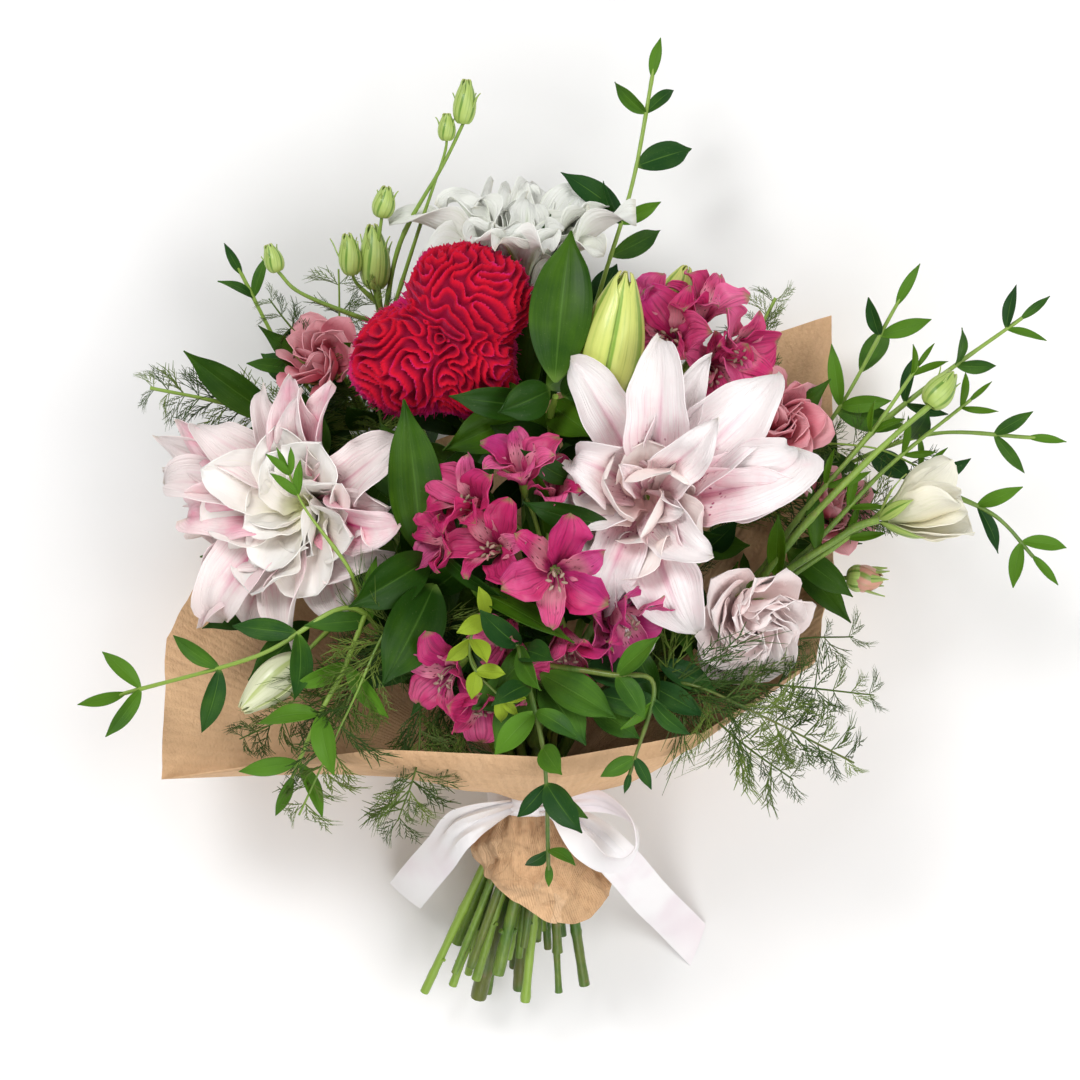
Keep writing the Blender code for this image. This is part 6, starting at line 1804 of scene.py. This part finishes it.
def make_celosia():
    """The celosia head: a lobed form whose surface folds into a maze of ridges."""
    deselect()
    bpy.ops.mesh.primitive_ico_sphere_add(subdivisions=HEAD_LEVELS, radius=1)
    piece = bpy.context.object
    count = len(piece.data.vertices)
    way = points_of(piece)
    edges = np.empty(len(piece.data.edges) * 2, np.int32)
    piece.data.edges.foreach_get("vertices", edges)
    edges = edges.reshape(-1, 2)
    centre = np.mean([p for p, _ in CELOSIA_LOBES], axis=0)
    reach = spread(lobed_reach(centre, way), edges, count, SMOOTH_ROUNDS)
    body = centre + way * reach[:, None]
    ridge = fold_maze(body, edges, count)
    draw = np.random.default_rng(sizes().seed)
    lumps = spread(draw.uniform(-1, 1, count), edges, count, LUMP_ROUNDS)
    lumps = lumps / np.abs(lumps).max()
    # The rim is a band round the head's edge as seen from above, where the finish paints a sheen.
    rim = ease(-way[:, 2] + 0.2 * lumps, -0.25, 0.3) * ease(way[:, 2], -0.7, -0.3)
    depth = sizes().fold / MM * (0.8 + 0.4 * ease(lumps, -0.6, 0.6))
    crest = np.sin(body @ np.array((1.5, 1.1, 0.9))) * np.sin(body @ np.array((-0.9, 1.6, 1.3)))
    far = reach - depth * (1 - ridge) + LUMP_HEIGHT * lumps + CREST_HEIGHT * crest * ridge
    far = far + draw.uniform(-GRAIN, GRAIN, count)
    set_points(piece, centre + way * far[:, None], ridge=ridge, rim=rim)
    line = LINES["celosia"]
    reach_in = smooth_line([line[-1], line[-1] + (centre - line[-1]) * 0.25, centre], 10)
    neck = join("celosia_neck", [tubes("celosia_neck", [(reach_in, np.linspace(5, 16, 11))])])
    fringe = []
    for k in range(FRINGE_COUNT):
        turn = 2 * math.pi * (k + random.random()) / FRINGE_COUNT
        tilt = vary(-0.55, 0.15)
        out = unit((math.cos(turn), math.sin(turn), tilt))
        near = int(np.argmax(way @ out))
        root = centre + way[near] * (far[near] - FRINGE_SINK)
        aim = out + np.array([sway(0.4) for _ in range(3)])
        fringe.append(needle_place(root, aim, FRINGE_LONG, FRINGE_THICK))
    one = needle()
    places = copies(one, fringe)
    bpy.data.objects.remove(one)
    edge = join("celosia_fringe", places)
    # Full ridge and rim values give the fringe the painted sheen all over.
    for name in ("ridge", "rim"):
        store(edge, name, 1.0)
    complete(join("celosia_crest", [piece]), "celosia", ["celosia_head"], 180)
    complete(edge, "celosia", ["celosia_head"], 180)
    complete(neck, "stem", ["celosia_head"])


# Paper and ribbon

PAPER_ROWS = 44
PAPER_STEPS = 12
SKIRT_ROWS = 26
LIP_ROWS = 4
PLEATS = 19
CREASE_SIZES = (34, 26, 19, 14, 10, 7)
CRUSH_DEPTH = 9.0
SKIRT_PLEAT = 1.4
WALL_PLEAT = 2.2
SKIRT_WAVE = 1.5
LIP_DEPTH = 15
LIP_ROUND = 2.2
WALL_CRUSH = 1.3
LOWEST = 0.3
BAND_POINTS = 64
BAND_START = 95
KNOT_HIGH = 8.5
KNOT_SINK = 0.9
TAIL_WIDTHS = [8, 17, 23]
LOOP_WIDTHS = [8, 12, 16, 18, 18, 18, 18, 17, 13, 8]


def neck_point(radius, angle, along):
    """A point round the tie, at an angle in degrees and a place along the bundle."""
    a = math.radians(angle)
    return TIE + BUNDLE_ALONG * along + (BUNDLE_SIDE * math.cos(a) + BUNDLE_FRONT * math.sin(a)) * radius


def paper_column(place, neck_radius):
    """The points of the paper at one place round the tie, from the skirt's hem to the rim."""
    rows = PAPER_WALL + [(PAPER_WALL[0][0] - 360,) + PAPER_WALL[0][1:]]
    k = min(int(place), len(rows) - 2)
    part = place - k

    def between(j):
        return np.asarray(rows[k][j], float) * (1 - part) + np.asarray(rows[k + 1][j], float) * part

    angle, rim, bend, lip = (between(j) for j in (0, 1, 2, 4))
    skirt = rows[k][3] + (rows[k + 1][3] - rows[k][3]) * ease(part, 0, 1) + SKIRT_WAVE * math.sin(place * 3.1)
    pleat = math.sin(math.radians(angle * PLEATS))
    half = NECK_WIDTH / 2
    # Painted shade for the paper: darker towards the tie, in the pleats and on the folded lip.
    points, crease = [], []
    for share in np.linspace(1, 0, SKIRT_ROWS, endpoint=False):
        flare = SKIRT_FLARE * share**0.8 + pleat * SKIRT_PLEAT * max(0.0, 1 - share * 2.5)
        drift = BUNDLE_SIDE * SKIRT_DRIFT * skirt / 60 * share**1.4
        points.append(neck_point(neck_radius + flare, angle, -half - skirt * share) + drift)
        crease.append(0.5 * (1 - share) * abs(pleat))
    start = neck_point(neck_radius, angle, half)
    points.append(neck_point(neck_radius, angle, 0))
    crease.append(0.6)
    for share in np.linspace(0, 1, PAPER_ROWS):
        p = start * (1 - share) ** 2 + bend * 2 * share * (1 - share) + rim * share**2
        away = unit(p - TIE - BUNDLE_ALONG * 90 * share)
        p = p + away * pleat * WALL_PLEAT * math.sin(math.pi * min(share * 1.6, 1)) * (1 - share)
        points.append(p)
        crease.append(max(0.0, 1 - share * 4) * 0.7)
    if lip > 0.01:
        away = unit(rim - TIE - BUNDLE_ALONG * 90)
        down = unit(points[-4] - points[-1])
        for row in range(1, LIP_ROWS + 1):
            share = row / LIP_ROWS
            rounding = away * LIP_ROUND * math.sin(math.pi * share * 0.6)
            points.append(points[SKIRT_ROWS + PAPER_ROWS] + rounding + down * LIP_DEPTH * lip * share)
            crease.append(0.3)
    else:
        points += [points[-1]] * LIP_ROWS
        crease += [0.0] * LIP_ROWS
    return points, crease


def crumple(points):
    """Straight creases in many directions, as in crushed paper: the height, and how near a fold line is, for
    painted shade along the creases.
    """
    draw = np.random.default_rng(sizes().seed)
    height, fold = np.zeros(len(points)), np.zeros(len(points))
    for size in CREASE_SIZES:
        wave = (points @ unit(draw.normal(size=3)) + draw.uniform(-4, 4)) / size
        wave = wave + 0.3 * np.sin(points @ unit(draw.normal(size=3)) / size * 1.7)
        height += (2 * np.abs(wave % 1 - 0.5) - 0.5) * size / sum(CREASE_SIZES)
        fold = np.maximum(fold, ease(np.abs(wave % 1 - 0.5), 0.44, 0.5) * draw.uniform(0.3, 1.0))
    return height * 2, fold


def make_paper():
    """The kraft paper: one sheet from its crumpled skirt through the tie to its rim."""
    columns = len(PAPER_WALL) * PAPER_STEPS
    piece, s, t = blank(SKIRT_ROWS + PAPER_ROWS + LIP_ROWS, columns)
    neck_radius = (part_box("stem_binding")[1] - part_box("stem_binding")[0]).x / 2 / MM + 0.8
    grid, crease = [], []
    for k in range(columns + 1):
        column, dark = paper_column(k / PAPER_STEPS, neck_radius)
        grid.append(column)
        crease.append(dark)
    grid, crease = np.array(grid), np.array(crease)
    column = np.rint((s + 1) / 2 * columns).astype(int)
    row = np.rint(t * (grid.shape[1] - 1)).astype(int)
    points, dark = grid[column, row], crease[column, row]
    skirt = row < SKIRT_ROWS
    away = points - TIE - BUNDLE_ALONG * 40
    round_stems = away - np.outer(away @ BUNDLE_ALONG, BUNDLE_ALONG)
    away = np.where(skirt[:, None], round_stems, away)
    away = away / np.linalg.norm(away, axis=1)[:, None]
    seam = np.cos(column / columns * 2 * math.pi)
    crush, fold = crumple(np.column_stack([points[:, 0], points[:, 1], points[:, 2] + 12 * seam]))
    share = np.clip(1 - row / SKIRT_ROWS, 0, 1)
    loose = CRUSH_DEPTH * share**0.4 * (1 - 0.6 * ease(share, 0.75, 1))
    size = np.where(skirt, loose, WALL_CRUSH * ease(row, SKIRT_ROWS + 2, SKIRT_ROWS + 14))
    points = points + away * (size * crush)[:, None]
    # Painted shade: darker along the creases, more on the skirt than on the wall.
    dark = dark + fold * np.where(skirt, 0.9, 0.35)
    points[:, 2] = np.maximum(points[:, 2], LOWEST)
    set_points(piece, points, crease=np.clip(dark, 0, 1), crush=np.where(skirt, 1.0, 0.12))
    take([piece])
    bpy.ops.object.mode_set(mode="EDIT")
    bpy.ops.mesh.select_all(action="SELECT")
    bpy.ops.mesh.remove_doubles(threshold=1e-5)
    bpy.ops.object.mode_set(mode="OBJECT")
    dress("paper", [piece], "kraft", ["paper_wrap"], sizes().paper, 16)


def strip(name, line, sides, widths, ripple=0.0, bow=0.03, slant=0.0, rows=90, cols=12):
    """A finished length of ribbon along a line, with the way across it at each point, and its length."""
    piece, s, t = blank(rows, cols)
    line, sides = smooth_line(line, rows), smooth_line(sides, rows)
    along = np.array([unit(v) for v in np.gradient(line, axis=0)])
    across = np.array([unit(v - a * (v @ a)) for v, a in zip(sides, along)])
    up = np.cross(along, across)
    k = np.rint(t * rows).astype(int)
    wide = np.interp(t, np.linspace(0, 1, len(widths)), widths)
    gather = 1 - ease(t, 0.05, 0.6)
    ripples = np.cos(8.2 * s + 1 + 2 * t) + 0.5 * np.cos(17 * s - 3 * t)
    height = ripple * gather * ripples + bow * wide * (1 - s**2)
    height = height + 0.25 * np.sin(11 * t + 2 * s)
    points = line[k] + across[k] * (s * wide / 2)[:, None] + up[k] * height[:, None]
    points = points + along[k] * (slant * s * wide / 2 * ease(t, 0.8, 1.0))[:, None]
    points[:, 2] = np.maximum(points[:, 2], LOWEST)
    set_points(piece, points, tone=0.5)
    piece = dress(name, [piece], "satin", ["ribbon_" + name], sizes().satin)
    return piece, np.linalg.norm(np.diff(line, axis=0), axis=1).sum() * MM


def make_knot(centre):
    """The knot in front of the band, a gathered lump of ribbon."""
    deselect()
    bpy.ops.mesh.primitive_uv_sphere_add(segments=40, ring_count=24, radius=1)
    piece = bpy.context.object
    way = points_of(piece)
    x, y, z = way.T
    fold = 0.9 * np.sin(5.5 * y + 2.2 * x) + 0.4 * np.sin(9 * y - 3 * x + 2 * z)
    body = way * np.array((KNOT_LONG - 1, KNOT_HIGH, KNOT_THICK)) * (1 + 0.07 * fold)[:, None]
    body[:, 1] *= 0.75 + 0.35 * np.abs(x)
    set_points(piece, centre + body @ np.array((BUNDLE_SIDE, BUNDLE_ALONG, BUNDLE_FRONT)), tone=0.5)
    return complete(join("knot", [piece]), "satin", ["ribbon_band"])


def make_ribbon():
    """The satin ribbon: its band, knot, two tails and a small loop."""
    wide = sizes().ribbon / MM
    low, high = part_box("ribbon_band")
    band_radius = (high - low).x / 2 / MM
    knot = TIE + BUNDLE_FRONT * (band_radius + KNOT_THICK - KNOT_SINK)
    ring = []
    for a in np.radians(np.linspace(BAND_START, BAND_START - 360, BAND_POINTS)):
        ring.append(TIE + (BUNDLE_SIDE * math.cos(a) + BUNDLE_FRONT * math.sin(a)) * (band_radius + 0.2))
    sides = [BUNDLE_ALONG] * BAND_POINTS
    band, long = strip("band", ring, sides, [NECK_WIDTH - 4] * 2, 0.35, 0.0, 0, 128, 16)
    knot_piece = make_knot(knot)
    for name, line, sides, start, slant in (
        ("tail_left", TAIL_LEFT, TAIL_LEFT_SIDES, -1, -0.3),
        ("tail_right", TAIL_RIGHT, TAIL_RIGHT_SIDES, 1, -0.5),
    ):
        first = knot + BUNDLE_SIDE * start * (KNOT_LONG - 3)
        widths = TAIL_WIDTHS + [wide] * 6
        piece, long = strip(name, [first] + line, [BUNDLE_ALONG * start] + sides, widths, 2.6, 0.05, slant)
    first = knot + BUNDLE_SIDE * (KNOT_LONG * 0.4) + BUNDLE_FRONT * (KNOT_THICK - 1)
    piece, long = strip("loop", [first] + LOOP, LOOP_SIDES, LOOP_WIDTHS, 0.8, 0.03)
    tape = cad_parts["stem_binding"]
    tape.data.materials.clear()
    tape.data.materials.append(finishes()["tape"])


# Floor, light and camera

CAMERA_LENS = 144.0
CAMERA_HEIGHT = 2.712
FLOOR_DROP = 0.0004
WORLD_COLOUR = (1.0, 0.975, 0.945, 1.0)
WORLD_STRENGTH = 0.3

# Lamps: place, size in metres and power in watts.
LAMPS = {
    "key_light": ((-0.75, 0.95, 1.7), 0.7, 21), "fill_light": ((1.1, 0.0, 1.6), 1.2, 15),
    "front_light": ((0.1, -1.3, 1.5), 1.2, 14),
}


def make_stage():
    """A plain pale floor, soft lights and a camera that looks straight down on the bouquet."""
    scene = bpy.context.scene
    deselect()
    bpy.ops.mesh.primitive_plane_add(size=6, location=(0, 0, -FLOOR_DROP))
    floor = bpy.context.object
    floor.name = "floor"
    f = Finish("floor", roughness=0.9, specular_ior_level=0.1)
    f.colour = f.mix(f.noise(3.0, 2.0).step(0.2, 0.8), colours().floor, (0.95, 0.95, 0.955))
    floor.data.materials.append(f.paint())
    for name, (place, size, power) in LAMPS.items():
        light = bpy.data.lights.new(name, "AREA")
        light.size = size
        light.energy = power
        lamp = bpy.data.objects.new(name, light)
        lamp.location = place
        lamp.rotation_euler = (-Vector(place) + Vector((0, 0, 0.1))).to_track_quat("-Z", "Y").to_euler()
        scene.collection.objects.link(lamp)
    world = bpy.data.worlds.new("studio")
    scene.world = world
    world.use_nodes = True
    world.node_tree.nodes["Background"].inputs["Color"].default_value = WORLD_COLOUR
    world.node_tree.nodes["Background"].inputs["Strength"].default_value = WORLD_STRENGTH
    camera = bpy.data.objects.new("camera", bpy.data.cameras.new("camera"))
    camera.data.lens = CAMERA_LENS
    camera.location = (0, 0, CAMERA_HEIGHT)
    scene.collection.objects.link(camera)
    scene.camera = camera
    scene.view_settings.view_transform = "Standard"


# Operators and panel


def run(make):
    """Makes one group of pieces, from the same seed each time."""
    random.seed(sizes().seed)
    make()
    return {"FINISHED"}


class BOUQUET_OT_stage(bpy.types.Operator):
    """Floor, light and camera"""

    bl_idname = "bouquet.stage"
    bl_label = "Make stage"

    def execute(self, context):
        return run(make_stage)


class BOUQUET_OT_paper(bpy.types.Operator):
    """The kraft paper"""

    bl_idname = "bouquet.paper"
    bl_label = "Make paper"

    def execute(self, context):
        return run(make_paper)


class BOUQUET_OT_ribbon(bpy.types.Operator):
    """The satin ribbon and the tape"""

    bl_idname = "bouquet.ribbon"
    bl_label = "Make ribbon"

    def execute(self, context):
        return run(make_ribbon)


class BOUQUET_OT_stalks(bpy.types.Operator):
    """Stems and side branches"""

    bl_idname = "bouquet.stalks"
    bl_label = "Make stems"

    def execute(self, context):
        return run(make_stalks)


class BOUQUET_OT_lilies(bpy.types.Operator):
    """The double lilies"""

    bl_idname = "bouquet.lilies"
    bl_label = "Make lilies"

    def execute(self, context):
        return run(make_lilies)


class BOUQUET_OT_cup_blooms(bpy.types.Operator):
    """Roses and lisianthus"""

    bl_idname = "bouquet.cup_blooms"
    bl_label = "Make roses"

    def execute(self, context):
        return run(make_cup_blooms)


class BOUQUET_OT_buds(bpy.types.Operator):
    """Lily, lisianthus and rose buds"""

    bl_idname = "bouquet.buds"
    bl_label = "Make buds"

    def execute(self, context):
        return run(make_buds)


class BOUQUET_OT_alstroemeria(bpy.types.Operator):
    """Alstroemeria heads"""

    bl_idname = "bouquet.alstroemeria"
    bl_label = "Make alstroemeria"

    def execute(self, context):
        return run(make_alstroemeria)


class BOUQUET_OT_celosia(bpy.types.Operator):
    """The celosia head"""

    bl_idname = "bouquet.celosia"
    bl_label = "Make celosia"

    def execute(self, context):
        return run(make_celosia)


class BOUQUET_OT_leaves(bpy.types.Operator):
    """Large, paired and inner leaves"""

    bl_idname = "bouquet.leaves"
    bl_label = "Make leaves"

    def execute(self, context):
        return run(make_leaves)


class BOUQUET_OT_ferns(bpy.types.Operator):
    """Fern fronds"""

    bl_idname = "bouquet.ferns"
    bl_label = "Make ferns"

    def execute(self, context):
        return run(make_ferns)


OPERATORS = [
    BOUQUET_OT_stage, BOUQUET_OT_paper, BOUQUET_OT_ribbon, BOUQUET_OT_stalks, BOUQUET_OT_lilies,
    BOUQUET_OT_cup_blooms, BOUQUET_OT_buds, BOUQUET_OT_alstroemeria, BOUQUET_OT_celosia, BOUQUET_OT_leaves,
    BOUQUET_OT_ferns,
]


class BOUQUET_PT_panel(bpy.types.Panel):
    """Lists the sizes, the colours and the operators."""

    bl_label = "Flower bouquet"
    bl_idname = "BOUQUET_PT_panel"
    bl_space_type = "VIEW_3D"
    bl_region_type = "UI"
    bl_category = "Bouquet"

    def draw(self, context):
        for group in (sizes(), colours()):
            for name in group.__annotations__:
                self.layout.prop(group, name)
        for made in OPERATORS:
            self.layout.operator(made.bl_idname)


CLASSES = [BouquetSizes, BouquetColours, *OPERATORS, BOUQUET_PT_panel]


def register():
    for made in CLASSES:
        bpy.utils.register_class(made)
    bpy.types.Scene.bouquet_sizes = PointerProperty(type=BouquetSizes)
    bpy.types.Scene.bouquet_colours = PointerProperty(type=BouquetColours)


def unregister():
    del bpy.types.Scene.bouquet_colours
    del bpy.types.Scene.bouquet_sizes
    for made in reversed(CLASSES):
        bpy.utils.unregister_class(made)


def main():
    """Makes the whole bouquet."""
    register()
    for made in OPERATORS:
        getattr(bpy.ops.bouquet, made.bl_idname.split(".")[1])()
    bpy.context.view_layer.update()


if __name__ == "__main__":
    main()
